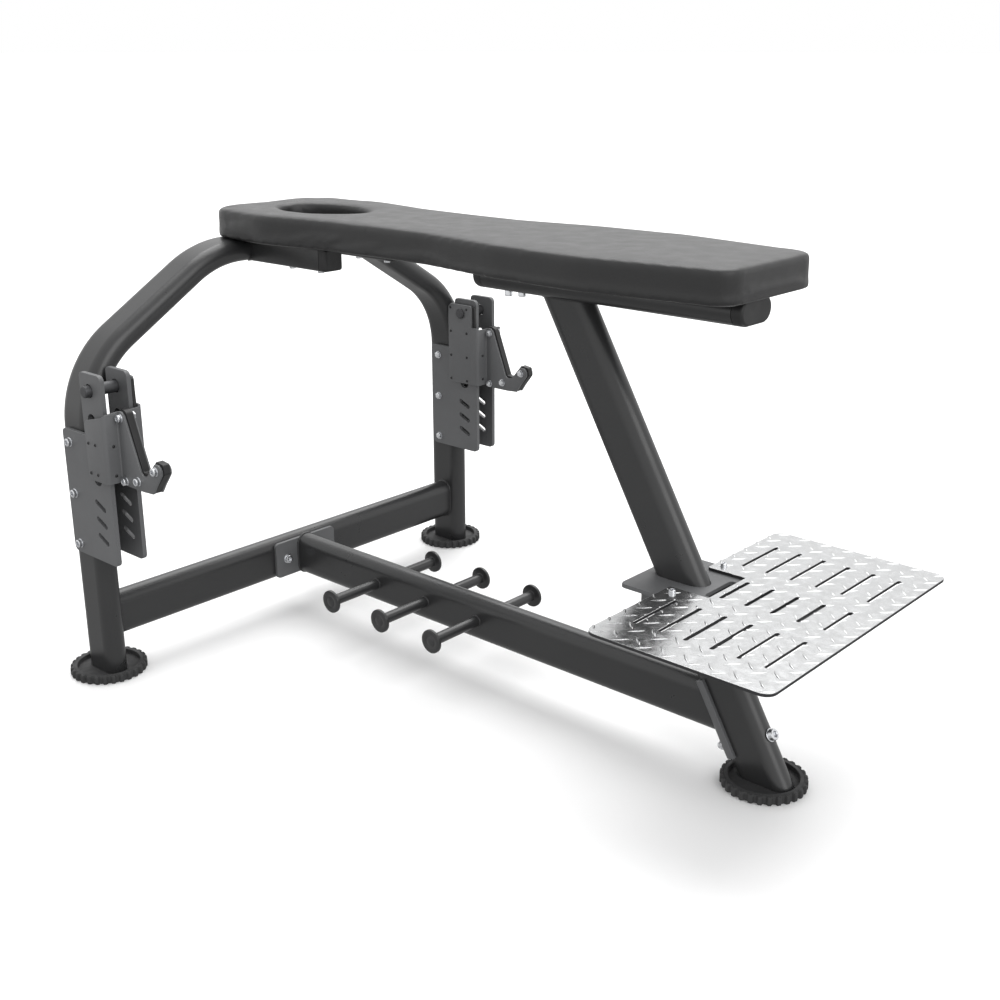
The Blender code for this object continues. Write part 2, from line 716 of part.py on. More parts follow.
def hook_sheets(side, way, pin):
    """Two bent steel sheets, mirrored, each a wing, half the front face and one cheek of the hook."""
    cheek_x = [x for x, _, _ in CHEEK]
    cheek_edges = [(low, high) for _, low, high in CHEEK]
    short = [(0.480, 0.590), (0.473, 0.599), (0.473, 0.612)]
    tall = [(0.480, 0.672), (0.473, 0.680), (0.473, 0.680)]
    bend_short = [(0.473, 0.614), (0.473, 0.616), (0.473, 0.618)]
    bend_tall = [(0.473, 0.624), (0.473, 0.622), (0.473, 0.620)]
    inner_bend = [(0.473, 0.619), (0.472, 0.620), (0.470, 0.621), (0.468, 0.621)]
    tall_bend = [(0.473, 0.619), (0.472, 0.620), (0.470, 0.621), (0.468, 0.621)]
    for place, out, start, wing, bend, middle in (
        ("outer", 1, 0.083, short, bend_short, inner_bend),
        ("inner", -1, 0.050, tall, bend_tall, tall_bend),
    ):
        path = bent_path(HOOK_HALF_WIDTH, WING_FACE, SHEET_THICK, start, FRONT_X, cheek_x)
        edges = wing + bend + middle + cheek_edges
        name = f"{side}_hook_{place}_sheet"
        rings = sheet_rings(path, edges, SHEET_THICK, way, out)
        sheet = solid(name, *loft(rings), "bracket", pin)
        holes = hook_bolt_holes(0.0048)
        if out < 0:
            holes.append(inner_pin_hole(way))
        cut(sheet, f"{name}_holes", holes)


def hook_liners(side, way, pin):
    """Black plastic strips between each wing and its guide plate, turned round the plate's front edge."""
    for place, out, start, high in (("outer", 1, 0.086, 0.594), ("inner", -1, 0.053, 0.676)):
        path = bent_path(0.024, LINER_FACE, LINER_THICK, start, FRONT_X - LINER_THICK - GAP, None)
        edges = [(0.480, high - 0.004), (0.474, high), (0.474, high)]
        edges += [(0.474, 0.610), (0.474, 0.606), (0.474, 0.604), (0.474, 0.604)]
        name = f"{side}_hook_{place}_liner"
        liner = solid(name, *loft(sheet_rings(path, edges, LINER_THICK, way, out)), "plastic", pin)
        if out < 0:
            cut(liner, f"{name}_hole", [inner_pin_hole(way)])


def hook_core(side, pin):
    """Thick plastic block between the cheeks, standing proud of them where the bar rolls in."""
    outline = rounded(
        [
            (0.1535, 0.470, 0.004),
            (0.2505, 0.470, 0.005),
            (0.293, 0.518, 0.006),
            (0.291, 0.536, 0.005),
            (0.268, 0.539, 0.005),
            (0.239, 0.5055, 0.006),
            (0.221, 0.5055, 0.005),
            (0.178, 0.621, 0.010),
            (0.168, 0.626, 0.006),
            (0.1535, 0.624, 0.004),
        ],
        3,
    )
    half = HOOK_HALF_WIDTH - SHEET_THICK - GAP
    block = solid(f"{side}_hook_core", *extruded(outline - (PIN_X, PIN_Z), "Y", -half, half), "plastic", pin)
    cut(block, f"{side}_core_holes", hook_bolt_holes(0.0048))


def hook_bolts(side, way, pin):
    reach = way * HOOK_HALF_WIDTH
    for i, (x, z) in enumerate(HOOK_BOLTS):
        at = (x - PIN_X, 0, z - PIN_Z)
        through_bolt(f"{side}_hook_bolt_{i + 1}", "Y", -reach, reach, at, pin, 0.0082)


def hook_pin(side, way, pin):
    """Round pin fixed in the inner wing, run through both guide plates."""
    inner = WING_FACE + SHEET_THICK + 0.007
    outer = TUBE_THIN / 2 + GUIDE_THICK + 0.014
    profile = [
        (-way * inner, PIN_RADIUS - 0.002),
        (-way * (inner - 0.002), PIN_RADIUS),
        (way * (outer - 0.003), PIN_RADIUS),
        (way * outer, PIN_RADIUS - 0.003),
    ]
    solid(f"{side}_lock_pin", *turned(profile, "Y", (0, 0, 0), 16), "pin_steel", pin)


def hook(side, way, machine):
    """One bar hook, built round an empty on its pin's axis."""
    pin = bpy.data.objects.new(f"{side}_hook_axis", None)
    pin.location = (PIN_X, way * LEG_Y, PIN_Z)
    pin.parent = machine
    bpy.context.scene.collection.objects.link(pin)
    hook_sheets(side, way, pin)
    hook_liners(side, way, pin)
    hook_core(side, pin)
    hook_bolts(side, way, pin)
    hook_pin(side, way, pin)


def build():
    for old in list(bpy.data.objects):
        bpy.data.objects.remove(old)
    machine = bpy.data.objects.new("machine", None)
    machine.location = (ARCH_X, 0, 0)
    bpy.context.scene.collection.objects.link(machine)
    arch(machine)
    crossbar(machine)
    spine_front_flange(machine)
    spine(machine)
    spine_rear_saddle(machine)
    rear_post(machine)
    post_bolt(machine)
    rail(machine)
    head_supports(machine)
    pad(machine)
    foot_plate(machine)
    foot_plate_bracket(machine)
    foot("left_foot", 0, -LEG_Y, machine)
    foot("right_foot", 0, LEG_Y, machine)
    foot("rear_foot", REAR_FOOT_X, 0, machine)
    for i, x in enumerate(PEG_X):
        band_peg(f"left_band_peg_{i + 1}", x, -1, machine)
        band_peg(f"right_band_peg_{i + 1}", x, 1, machine)
    guide_plates(machine)
    for side, way in (("left", -1), ("right", 1)):
        hook(side, way, machine)


build()
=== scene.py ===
"""The visual model of a prone row bench: a long padded top on a bent arch and a leaning rear post, two
swing-up bar hooks, band pegs and a tread plate for the feet. Metres, +Z up, the head end towards -X."""

import math

import bmesh
import bpy
import numpy as np
from mathutils import Matrix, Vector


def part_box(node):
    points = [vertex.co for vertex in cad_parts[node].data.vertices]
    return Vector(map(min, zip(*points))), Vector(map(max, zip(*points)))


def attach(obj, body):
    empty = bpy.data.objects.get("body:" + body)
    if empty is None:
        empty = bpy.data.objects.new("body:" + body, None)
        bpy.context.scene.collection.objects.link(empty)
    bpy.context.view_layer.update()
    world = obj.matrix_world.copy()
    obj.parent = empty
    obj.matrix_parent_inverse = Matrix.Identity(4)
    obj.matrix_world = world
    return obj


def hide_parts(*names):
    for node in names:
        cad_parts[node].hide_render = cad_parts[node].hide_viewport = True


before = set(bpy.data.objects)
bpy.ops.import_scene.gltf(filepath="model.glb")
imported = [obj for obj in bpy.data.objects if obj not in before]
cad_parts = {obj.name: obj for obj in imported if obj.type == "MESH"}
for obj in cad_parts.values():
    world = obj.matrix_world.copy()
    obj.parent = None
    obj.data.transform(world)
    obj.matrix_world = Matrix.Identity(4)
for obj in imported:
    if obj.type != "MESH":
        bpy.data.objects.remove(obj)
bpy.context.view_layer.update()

# Camera: a 47 mm lens at standing height, off the foot end's left side, turned down 18.6 degrees.
# The sensor shift is the small one that the framing needs.
camera = bpy.data.objects.new("camera", bpy.data.cameras.new("camera"))
camera.data.lens = 47.04
camera.data.sensor_width = 36.0
camera.data.shift_x = -0.00689
camera.data.shift_y = -0.01125
camera.location = (1.68414, -1.92711, 1.30409)
camera.rotation_euler = (math.radians(90 - 18.58), 0, math.radians(41.51))
bpy.context.scene.collection.objects.link(camera)
bpy.context.scene.camera = camera

# Studio: a plain white floor under a pale sky, a broad soft light high behind the bench, which makes the
# level faces pale, and a weaker one from the camera's left.
bpy.context.scene.view_settings.view_transform = "Standard"
floor_half = 400.0
floor_mesh = bpy.data.meshes.new("studio_floor")
floor_corners = [(a * floor_half, b * floor_half, 0) for a, b in ((-1, -1), (1, -1), (1, 1), (-1, 1))]
floor_mesh.from_pydata(floor_corners, [], [(0, 1, 2, 3)])
floor = bpy.data.objects.new("studio_floor", floor_mesh)
floor_paint = bpy.data.materials.new("studio_floor_paint")
floor_paint.use_nodes = True
floor_shader = floor_paint.node_tree.nodes["Principled BSDF"]
floor_shader.inputs["Base Color"].default_value = (0.93, 0.93, 0.93, 1)
floor_shader.inputs["Roughness"].default_value = 0.9
floor_mesh.materials.append(floor_paint)
bpy.context.scene.collection.objects.link(floor)

# The floor is lit and seen but throws no light back: the sky's lower half does, at half the upper one's
# strength. The sky blends from one to the other just under the level.
floor.visible_diffuse = False
floor.visible_glossy = False
sky = bpy.data.worlds.new("studio_sky")
sky.use_nodes = True
sky_tree = sky.node_tree
sky_way = sky_tree.nodes.new("ShaderNodeTexCoord")
sky_split = sky_tree.nodes.new("ShaderNodeSeparateXYZ")
sky_blend = sky_tree.nodes.new("ShaderNodeMapRange")
sky_tree.links.new(sky_way.outputs["Generated"], sky_split.inputs[0])
sky_tree.links.new(sky_split.outputs["Z"], sky_blend.inputs[0])
for index, value in ((1, -0.30), (2, -0.04), (3, 0.50), (4, 1.0)):
    sky_blend.inputs[index].default_value = value
sky_tree.nodes["Background"].inputs["Color"].default_value = (1, 1, 1, 1)
sky_tree.links.new(sky_blend.outputs[0], sky_tree.nodes["Background"].inputs["Strength"])
bpy.context.scene.world = sky
for light_name, strength, spread, height_angle, turn_angle in (
    ("back_light", 2.1, 60, 62, 30),
    ("side_light", 0.7, 40, 30, -100),
):
    lamp = bpy.data.lights.new(light_name, "SUN")
    lamp.energy = strength
    lamp.angle = math.radians(spread)
    light = bpy.data.objects.new(light_name, lamp)
    light.rotation_euler = (math.radians(90 - height_angle), 0, math.radians(turn_angle + 180))
    bpy.context.scene.collection.objects.link(light)


# Feet: three black rubber discs with a toothed rim, moulded with a shallow recess that takes the tube's end.
# They are pushed onto the two legs and the rear post.
FOOT_RADIUS = 0.082
FOOT_TEETH = 28
TOOTH_DEPTH = 0.005
RECESS_FLOOR = 0.008


def node_in(tree, kind, inputs=None, **settings):
    """One shader node; inputs are set from a plain value, or linked from another node's socket."""
    made = tree.nodes.new(kind)
    for key, value in settings.items():
        setattr(made, key, value)
    for key, value in (inputs or {}).items():
        if isinstance(value, bpy.types.NodeSocket):
            tree.links.new(value, made.inputs[key])
        else:
            made.inputs[key].default_value = value
    return made


def grained(name, dark, pale, rough, metal, clouds, grain, height, **fixed):
    """A finish from noises on the object's own coordinates.

    Slow clouds shift the colour between two tones, others spread the roughness over a range, and two sizes of
    grain, one four times the other, raise the surface by height."""
    made = bpy.data.materials.new(name)
    made.use_nodes = True
    tree = made.node_tree
    shader = tree.nodes["Principled BSDF"]
    shader.inputs["Metallic"].default_value = metal
    for key, value in fixed.items():
        shader.inputs[key.replace("_", " ")].default_value = value
    place = node_in(tree, "ShaderNodeTexCoord").outputs["Object"]
    slow = node_in(tree, "ShaderNodeTexNoise",
                   {"Vector": place, "Scale": clouds, "Detail": 6.0, "Roughness": 0.62})
    colour = node_in(tree, "ShaderNodeMix",
                     {0: slow.outputs[0], 6: (*dark, 1), 7: (*pale, 1)}, data_type="RGBA")
    tree.links.new(colour.outputs[2], shader.inputs["Base Color"])
    worn = node_in(tree, "ShaderNodeTexNoise", {"Vector": place, "Scale": clouds * 3.1, "Detail": 8.0})
    spread = node_in(tree, "ShaderNodeMapRange",
                     {0: worn.outputs[0], 1: 0.3, 2: 0.7, 3: rough[0], 4: rough[1]})
    tree.links.new(spread.outputs[0], shader.inputs["Roughness"])
    wide = node_in(tree, "ShaderNodeTexNoise", {"Vector": place, "Scale": grain / 4, "Detail": 2.0})
    fine = node_in(tree, "ShaderNodeTexNoise", {"Vector": place, "Scale": grain, "Detail": 3.0})
    first = node_in(tree, "ShaderNodeBump", {"Strength": 0.5, "Distance": height, "Height": wide.outputs[0]})
    second = node_in(tree, "ShaderNodeBump", {
        "Strength": 0.6, "Distance": height * 0.6, "Height": fine.outputs[0], "Normal": first.outputs[0]})
    tree.links.new(second.outputs[0], shader.inputs["Normal"])
    return made


def shown(name, points, faces, finish, slot, body, *nodes, sharp=38):
    """Puts a mesh in the scene as a finished piece that rides on body in place of the CAD nodes.

    The faces are turned outwards: the sum of each triangle's corner product is six times the volume, and its
    sign says whether the surface is inside out."""
    points = np.asarray(points, float).reshape(-1, 3)
    mesh = bpy.data.meshes.new(name)
    mesh.from_pydata(points.tolist(), [], faces)
    mesh.validate()
    mesh.calc_loop_triangles()
    corners = np.empty(len(mesh.loop_triangles) * 3, np.int32)
    mesh.loop_triangles.foreach_get("vertices", corners)
    a, b, c = points[corners].reshape(-1, 3, 3).transpose(1, 0, 2)
    if np.einsum("ij,ij", a, np.cross(b, c)) < 0:
        mesh.flip_normals()
    mesh.shade_smooth()
    mesh.set_sharp_from_angle(angle=math.radians(sharp))
    mesh.materials.append(finish)
    made = bpy.data.objects.new(name, mesh)
    bpy.context.scene.collection.objects.link(made)
    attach(made, body)
    if nodes:
        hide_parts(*nodes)
    return made


def skin(rows, around, closed=False, first=0):
    """Faces of a grid of rows joined in turn, each row a closed ring; its two ends are filled unless it
    closes."""
    i = np.arange(rows if closed else rows - 1)[:, None] * around
    j = np.arange(around)[None, :]
    up = (i + around) % (rows * around)
    turn = (j + 1) % around
    quads = np.stack([i + j, i + turn, up + turn, up + j], -1).reshape(-1, 4) + first
    if closed:
        return quads.tolist()
    last = (rows - 1) * around
    ends = [list(range(first, first + around)), list(range(first + last, first + last + around))[::-1]]
    return quads.tolist() + ends


foot_rubber = grained(
    "foot_rubber", (0.020, 0.020, 0.0205), (0.042, 0.042, 0.043), (0.62, 0.86), 0.0, 14, 900, 0.0002,
)
foot_turn = np.linspace(0, 2 * math.pi, FOOT_TEETH * 12, endpoint=False)
# The rim goes in and out as a square wave with sloping flanks, from a clipped cosine.
tooth = 0.5 - 0.5 * np.clip(2.2 * np.cos(FOOT_TEETH * foot_turn), -1, 1)
# The disc's section from under it, round the rim and down into the recess, as rows of (share of the radius,
# height, share of the tooth's depth).
foot_profile = np.array([
    (0.30, 0.0000, 0.0), (0.97, 0.0000, 1.0), (0.994, 0.0012, 1.0), (1.0, 0.0030, 1.0),
    (1.0, 0.0145, 1.0), (0.992, 0.0168, 1.0), (0.972, 0.0180, 0.9), (0.925, 0.0180, 0.0),
    (0.905, 0.0172, 0.0), (0.89, 0.0180, 0.0), (0.826, 0.0180, 0.0), (0.814, 0.0172, 0.0),
    (0.811, 0.0160, 0.0), (0.811, 0.0090, 0.0), (0.804, RECESS_FLOOR, 0.0), (0.05, RECESS_FLOOR, 0.0),
])
for foot_name in ("left_foot", "right_foot", "rear_foot"):
    low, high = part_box(foot_name)
    reach = foot_profile[:, :1] * FOOT_RADIUS - foot_profile[:, 2:] * TOOTH_DEPTH * tooth
    rings = np.stack([
        (low.x + high.x) / 2 + reach * np.cos(foot_turn),
        (low.y + high.y) / 2 + reach * np.sin(foot_turn),
        np.repeat(foot_profile[:, 1:2], len(foot_turn), 1),
    ], -1)
    shown(foot_name + "_rubber", rings, skin(*rings.shape[:2]), foot_rubber, "rubber", "machine", foot_name)

# Arch: one flat-oval steel tube, 100 by 50 mm, bent twice on each side so that both legs and the crown are
# one piece, powder coated in charcoal. Its long side lies along X all the way round.
TUBE_LONG = 0.100
TUBE_THIN = 0.050
ARCH_BEND_START = 0.557
ARCH_LOWER_RADIUS = 0.212
ARCH_UPPER_RADIUS = 0.250
ARCH_SLOPE = math.radians(31.7)
arch_low, arch_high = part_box("arch_tube")
HEAD_X = (arch_low.x + arch_high.x) / 2
LEG_Y = arch_high.y - TUBE_THIN / 2
CROWN_Z = arch_high.z - TUBE_THIN / 2


def flat_oval(long, thin, steps=14):
    """Outline with two straight sides and half-round ends, long along its first coordinate.

    Each straight side has two points close to the rounds, so that the flat between them shades flat."""
    radius, half = thin / 2, (long - thin) / 2
    turn = np.linspace(-math.pi / 2, math.pi / 2, steps)
    end = np.column_stack([half + radius * np.cos(turn), radius * np.sin(turn)])
    side = np.array([(half * 0.94, radius), (half * -0.94, radius)])
    return np.vstack([end, side, -end, -side])


def arch_line():
    """The arch's middle line from the left foot to the right, as y, z and the unit tangent.

    A leg goes straight up, turns in on the lower radius to the slope, runs straight, and turns level on the
    upper radius; the other half is the mirror image."""
    turn = np.linspace(0, math.pi / 2 - ARCH_SLOPE, 30)
    lower = np.column_stack([
        -LEG_Y + ARCH_LOWER_RADIUS * (1 - np.cos(turn)),
        ARCH_BEND_START + ARCH_LOWER_RADIUS * np.sin(turn),
        np.sin(turn),
        np.cos(turn),
    ])
    slope = np.linspace(ARCH_SLOPE, 0, 18)
    top_z = CROWN_Z - ARCH_UPPER_RADIUS * (1 - np.cos(slope))
    start_y = lower[-1, 0] + (top_z[0] - lower[-1, 1]) / math.tan(ARCH_SLOPE)
    upper_y = start_y + ARCH_UPPER_RADIUS * (math.sin(ARCH_SLOPE) - np.sin(slope))
    upper = np.column_stack([upper_y, top_z, np.cos(slope), np.sin(slope)])
    legs = np.array([(-LEG_Y, z, 0.0, 1.0) for z in (RECESS_FLOOR + 0.0003, 0.05, 0.30, 0.54)])
    half = np.vstack([legs, lower, upper])
    return np.vstack([half, half[::-1] * (-1, 1, 1, -1)])


frame_coat = grained(
    "frame_coat", (0.0225, 0.0228, 0.0235), (0.0310, 0.0313, 0.0320), (0.27, 0.37), 0.0, 5, 1100, 0.00012,
    Coat_Weight=0.12, Coat_Roughness=0.22,
)
line = arch_line()
oval = flat_oval(TUBE_LONG, TUBE_THIN)
rings = np.stack([
    np.broadcast_to(HEAD_X + oval[:, 0], (len(line), len(oval))),
    line[:, :1] - oval[:, 1] * line[:, 3:4],
    line[:, 1:2] + oval[:, 1] * line[:, 2:3],
], -1)
shown("arch_bent_tube", rings, skin(*rings.shape[:2]), frame_coat, "frame", "machine", "arch_tube")

# Low frame: a crossbar between the legs and a spine from it to the rear post, both flat-oval tube on edge.
# The crossbar is welded to the legs. The spine ends in a flange bolted to the crossbar and a half-round
# saddle against the post.
crossbar_low, crossbar_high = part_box("crossbar")
BAR_Z = (crossbar_low.z + crossbar_high.z) / 2
POST_FLOOR_X = HEAD_X + 1.348
POST_LEAN = math.radians(30)
SADDLE_THICK = 0.008
SPINE_REAR_GAP = 0.035  # from the post's middle line to the spine's end, square to the post
spine_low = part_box("spine_tube")[0]
upright = oval[:, ::-1]

reach = LEG_Y - TUBE_THIN / 2 + 0.001
along = np.array([-reach, -0.4, 0, 0.4, reach])[:, None]
rings = np.stack(np.broadcast_arrays(HEAD_X + upright[:, 0], along, BAR_Z + upright[:, 1]), -1)
shown("crossbar_tube", rings, skin(*rings.shape[:2]), frame_coat, "frame", "machine", "crossbar")

# The spine's rear end leans with the post, so that it runs into the saddle all the way up.
share = np.array([0, 0.5, 1])[:, None]
rear_end = POST_FLOOR_X - (BAR_Z + upright[:, 1]) * math.tan(POST_LEAN) - SPINE_REAR_GAP / math.cos(POST_LEAN)
rings = np.stack(np.broadcast_arrays(
    spine_low.x + share * (rear_end - spine_low.x), upright[:, 0], BAR_Z + upright[:, 1]), -1)
shown("spine_long_tube", rings, skin(*rings.shape[:2]), frame_coat, "frame", "machine", "spine_tube")


def weld_bead(name, path, normal, radius=0.0026, body="machine"):
    """A fillet weld round a closed joint: a small round carried along the path, swelling and thinning as the
    puddles were laid, one every 4 mm. The section stands on the path's tangent and the joint's normal."""
    path = np.asarray(path, float)
    gaps = np.linalg.norm(np.roll(path, -1, 0) - path, axis=1)
    length = np.concatenate([[0], np.cumsum(gaps)])
    count = int(length[-1] / 0.0013)
    at = np.linspace(0, length[-1], count, endpoint=False)
    looped = np.vstack([path, path[:1]])
    fine = np.column_stack([np.interp(at, length, looped[:, k]) for k in range(3)])
    tangent = np.roll(fine, -2, 0) - np.roll(fine, 2, 0)
    tangent /= np.linalg.norm(tangent, axis=1)[:, None]
    out = np.broadcast_to(np.asarray(normal, float), fine.shape)
    side = np.cross(tangent, out)
    side /= np.linalg.norm(side, axis=1)[:, None]
    size = radius * (1 + 0.13 * np.cos(2 * math.pi * at / 0.004))[:, None, None]
    turn = np.linspace(0, 2 * math.pi, 8, endpoint=False)[None, :, None]
    rings = fine[:, None] + size * (np.cos(turn) * out[:, None] + np.sin(turn) * side[:, None])
    return shown(name, rings, skin(len(fine), 8, closed=True), frame_coat, "frame", body, sharp=80)


for side, way in (("left", -1), ("right", 1)):
    at_leg = np.full(len(upright), way * (LEG_Y - TUBE_THIN / 2))
    joint = np.column_stack([HEAD_X + upright[:, 0], at_leg, BAR_Z + upright[:, 1]])
    weld_bead(side + "_crossbar_weld", joint, (0, way, 0))
joint = np.column_stack([np.full(len(upright), spine_low.x), upright[:, 0], BAR_Z + upright[:, 1]])
weld_bead("spine_front_weld", joint, (1, 0, 0))

# Flange: an 8 mm steel plate with rounded corners, coated a paler grey than the tubes, like every other
# plate. It is welded to the spine's front end and pulled to the crossbar by two bolts.
FLANGE_CORNER = 0.010
bracket_coat = grained(
    "bracket_coat", (0.100, 0.102, 0.105), (0.130, 0.132, 0.136), (0.44, 0.56), 0.0, 7, 1500, 0.00012,
)


def cut_plate(outline, holes, thick, bevel=0.0006):
    """A flat plate's mesh about z = 0: the outline filled in with the holes left out, drawn as one flat curve
    and given its thickness with a small round on every edge."""
    curve = bpy.data.curves.new("plate_outline", "CURVE")
    curve.dimensions = "2D"
    curve.fill_mode = "BOTH"
    curve.extrude = thick / 2 - bevel
    curve.bevel_depth = bevel
    curve.bevel_resolution = 2
    curve.offset = -bevel
    for loop in [outline, *holes]:
        spline = curve.splines.new("POLY")
        spline.points.add(len(loop) - 1)
        height_and_weight = np.broadcast_to((0.0, 1.0), (len(loop), 2))
        spline.points.foreach_set("co", np.column_stack([loop, height_and_weight]).ravel())
        spline.use_cyclic_u = True
    holder = bpy.data.objects.new("plate_outline", curve)
    bpy.context.scene.collection.objects.link(holder)
    made = bpy.data.meshes.new_from_object(holder.evaluated_get(bpy.context.evaluated_depsgraph_get()))
    bpy.data.objects.remove(holder)
    shape = bmesh.new()
    shape.from_mesh(made)
    bmesh.ops.remove_doubles(shape, verts=shape.verts, dist=2e-5)
    bmesh.ops.recalc_face_normals(shape, faces=shape.faces)
    shape.to_mesh(made)
    shape.free()
    return made


def flat_faced(obj):
    """Weights each corner's normal by the faces' areas, so that wide faces shade flat beside small rounds."""
    flat = obj.modifiers.new("flat_faces", "WEIGHTED_NORMAL")
    flat.keep_sharp = True
    flat.weight = 80
    return obj


def plate_piece(name, mesh, matrix, finish, slot, body, *nodes, sharp=32):
    """A finished flat mesh put in its place by a matrix that goes into its points."""
    mesh.transform(matrix)
    if matrix.determinant() < 0:
        mesh.flip_normals()
    mesh.shade_smooth()
    mesh.set_sharp_from_angle(angle=math.radians(sharp))
    mesh.materials.clear()
    mesh.materials.append(finish)
    mesh.name = name
    made = bpy.data.objects.new(name, mesh)
    bpy.context.scene.collection.objects.link(made)
    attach(made, body)
    if nodes:
        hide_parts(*nodes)
    return flat_faced(made)


def rounded(corners, steps=8):
    """Outline of a polygon of (a, b, radius) corners. A corner's arc has its centre on the bisector, at the
    radius over the sine of the half angle."""
    outline = []
    for i, (a, b, radius) in enumerate(corners):
        here = np.array((a, b), float)
        back = np.array(corners[i - 1][:2]) - here
        ahead = np.array(corners[(i + 1) % len(corners)][:2]) - here
        back, ahead = back / np.linalg.norm(back), ahead / np.linalg.norm(ahead)
        half = math.acos(np.clip(back @ ahead, -1, 1)) / 2
        centre = here + (back + ahead) / np.linalg.norm(back + ahead) * radius / math.sin(half)
        start = here + back * radius / math.tan(half) - centre
        end = here + ahead * radius / math.tan(half) - centre
        turn = math.atan2(start[0] * end[1] - start[1] * end[0], start @ end)
        angle = np.linspace(0, turn, steps)[:, None]
        outline.append(centre + start * np.cos(angle) + np.array((-start[1], start[0])) * np.sin(angle))
    return np.vstack(outline)


def circle(radius, at=(0, 0), steps=40):
    """Outline of a circle about a point."""
    turn = np.linspace(0, 2 * math.pi, steps, endpoint=False)
    return np.column_stack([radius * np.cos(turn), radius * np.sin(turn)]) + at


# A plate's a, b and thickness go to Y, Z and X by the first matrix, and to X, Z and Y by the second.
ALONG_X = Matrix(((0, 0, 1, 0), (1, 0, 0, 0), (0, 1, 0, 0), (0, 0, 0, 1)))
ALONG_Y = Matrix(((1, 0, 0, 0), (0, 0, 1, 0), (0, 1, 0, 0), (0, 0, 0, 1)))
low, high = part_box("spine_front_flange")
half_y, half_z = (high.y - low.y) / 2, (high.z - low.z) / 2
flange_edge = rounded(
    [(a * half_y, b * half_z, FLANGE_CORNER) for a, b in ((-1, -1), (1, -1), (1, 1), (-1, 1))])
plate_piece("spine_flange_plate", cut_plate(flange_edge, [], high.x - low.x),
            Matrix.Translation(((low.x + high.x) / 2, 0, BAR_Z)) @ ALONG_X, bracket_coat, "bracket",
            "machine", "spine_front_flange")

# Bolts: zinc-plated socket cap screws on washers, each with a hexagon nut and a little thread past it. Two
# hold the flange, one the saddle, three each pair of guide plates, and four the sheets of each hook.
bright_zinc = grained(
    "bright_zinc", (0.62, 0.63, 0.65), (0.80, 0.81, 0.83), (0.16, 0.34), 1.0, 60, 2400, 0.00003,
)


def hexagon(turn, flat):
    """Radius of a hexagon at each turn: the distance to a flat over the cosine of the turn within a side."""
    return flat / np.cos((turn + math.pi / 6) % (math.pi / 3) - math.pi / 6)


def socket_bolt(name, start, end, nut_face, head_face, head, finish, slot, body, *nodes):
    """A whole bolt along the line from start, the thread's end, to end, the head's top.

    Rings of (distance, radius, 1 for a hexagon) are carried up the line: nut, washer, shank, washer, cap,
    then down into the hexagon socket. nut_face and head_face are the distances at which the clamped faces
    lie, and head is the cap's radius, which the other sizes follow."""
    start, end = np.asarray(start, float), np.asarray(end, float)
    length = np.linalg.norm(end - start)
    axis = (end - start) / length
    across = np.cross(axis, (0.0, 0.0, 1.0) if abs(axis[2]) < 0.9 else (1.0, 0.0, 0.0))
    across /= np.linalg.norm(across)
    up = np.cross(axis, across)
    turn = np.linspace(0, 2 * math.pi, 48, endpoint=False)
    shank, nut, socket = head * 0.56, head * 0.86, head * 0.50
    nut_end, nut_edge = max(0.0012, nut_face - nut * 0.92), max(0.0017, nut_face - nut * 0.84)
    rows = np.array([
        (0.0000, shank * 0.50, 0), (0.0000, shank * 0.86, 0), (0.0008, shank, 0), (nut_end, shank, 0),
        (nut_end, nut * 0.90, 0), (nut_edge, nut, 1), (nut_face - 0.0016, nut, 1),
        (nut_face - 0.0012, nut * 0.96, 0), (nut_face - 0.0012, head * 1.12, 0),
        (nut_face + 0.0001, head * 1.12, 0), (nut_face + 0.0001, shank, 0),
        (head_face - 0.0001, shank, 0), (head_face - 0.0001, head * 1.16, 0),
        (head_face + 0.0011, head * 1.16, 0), (head_face + 0.0014, head * 1.10, 0),
        (head_face + 0.0014, head * 0.98, 0), (head_face + 0.0018, head, 0), (length - 0.0014, head, 0),
        (length - 0.0004, head * 0.93, 0), (length, head * 0.82, 0), (length, socket * 1.18, 0),
        (length - 0.0006, socket, 1), (length - 0.0045, socket, 1), (length - 0.0055, socket * 0.1, 0),
    ])
    radius = np.where(rows[:, 2:] > 0, hexagon(turn[None, :], rows[:, 1:2]), rows[:, 1:2])
    rings = (start + axis * rows[:, :1])[:, None] + radius[..., None] * (
        np.cos(turn)[None, :, None] * across + np.sin(turn)[None, :, None] * up)
    return shown(name, rings, skin(len(rows), len(turn)), finish, slot, body, *nodes, sharp=28)


NUT_DEPTH = 0.008  # from the thread's end to the clamped face
HEAD_HEIGHT = 0.009
for side in ("left", "right"):
    low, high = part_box(side + "_flange_bolt")
    middle_y, middle_z = (low.y + high.y) / 2, (low.z + high.z) / 2
    socket_bolt(side + "_flange_screw", (low.x, middle_y, middle_z), (high.x, middle_y, middle_z), NUT_DEPTH,
                high.x - low.x - HEAD_HEIGHT, 0.0095, bright_zinc, "zinc", "machine", side + "_flange_bolt")

# Rear post: the same flat-oval tube leaning forward 30 degrees from the rear foot to the rail, its ends cut
# level. The spine meets it at a half-round saddle plate, held by one long bolt through the post.
post_low, post_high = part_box("rear_post")


def post_point(across, y, along):
    """A point of the post's own frame as a world point: across it, sideways, and up along its lean."""
    c, s = math.cos(POST_LEAN), math.sin(POST_LEAN)
    across, y, along = np.broadcast_arrays(across, y, along)
    return np.stack([POST_FLOOR_X + across * c - along * s, y, across * s + along * c], -1)


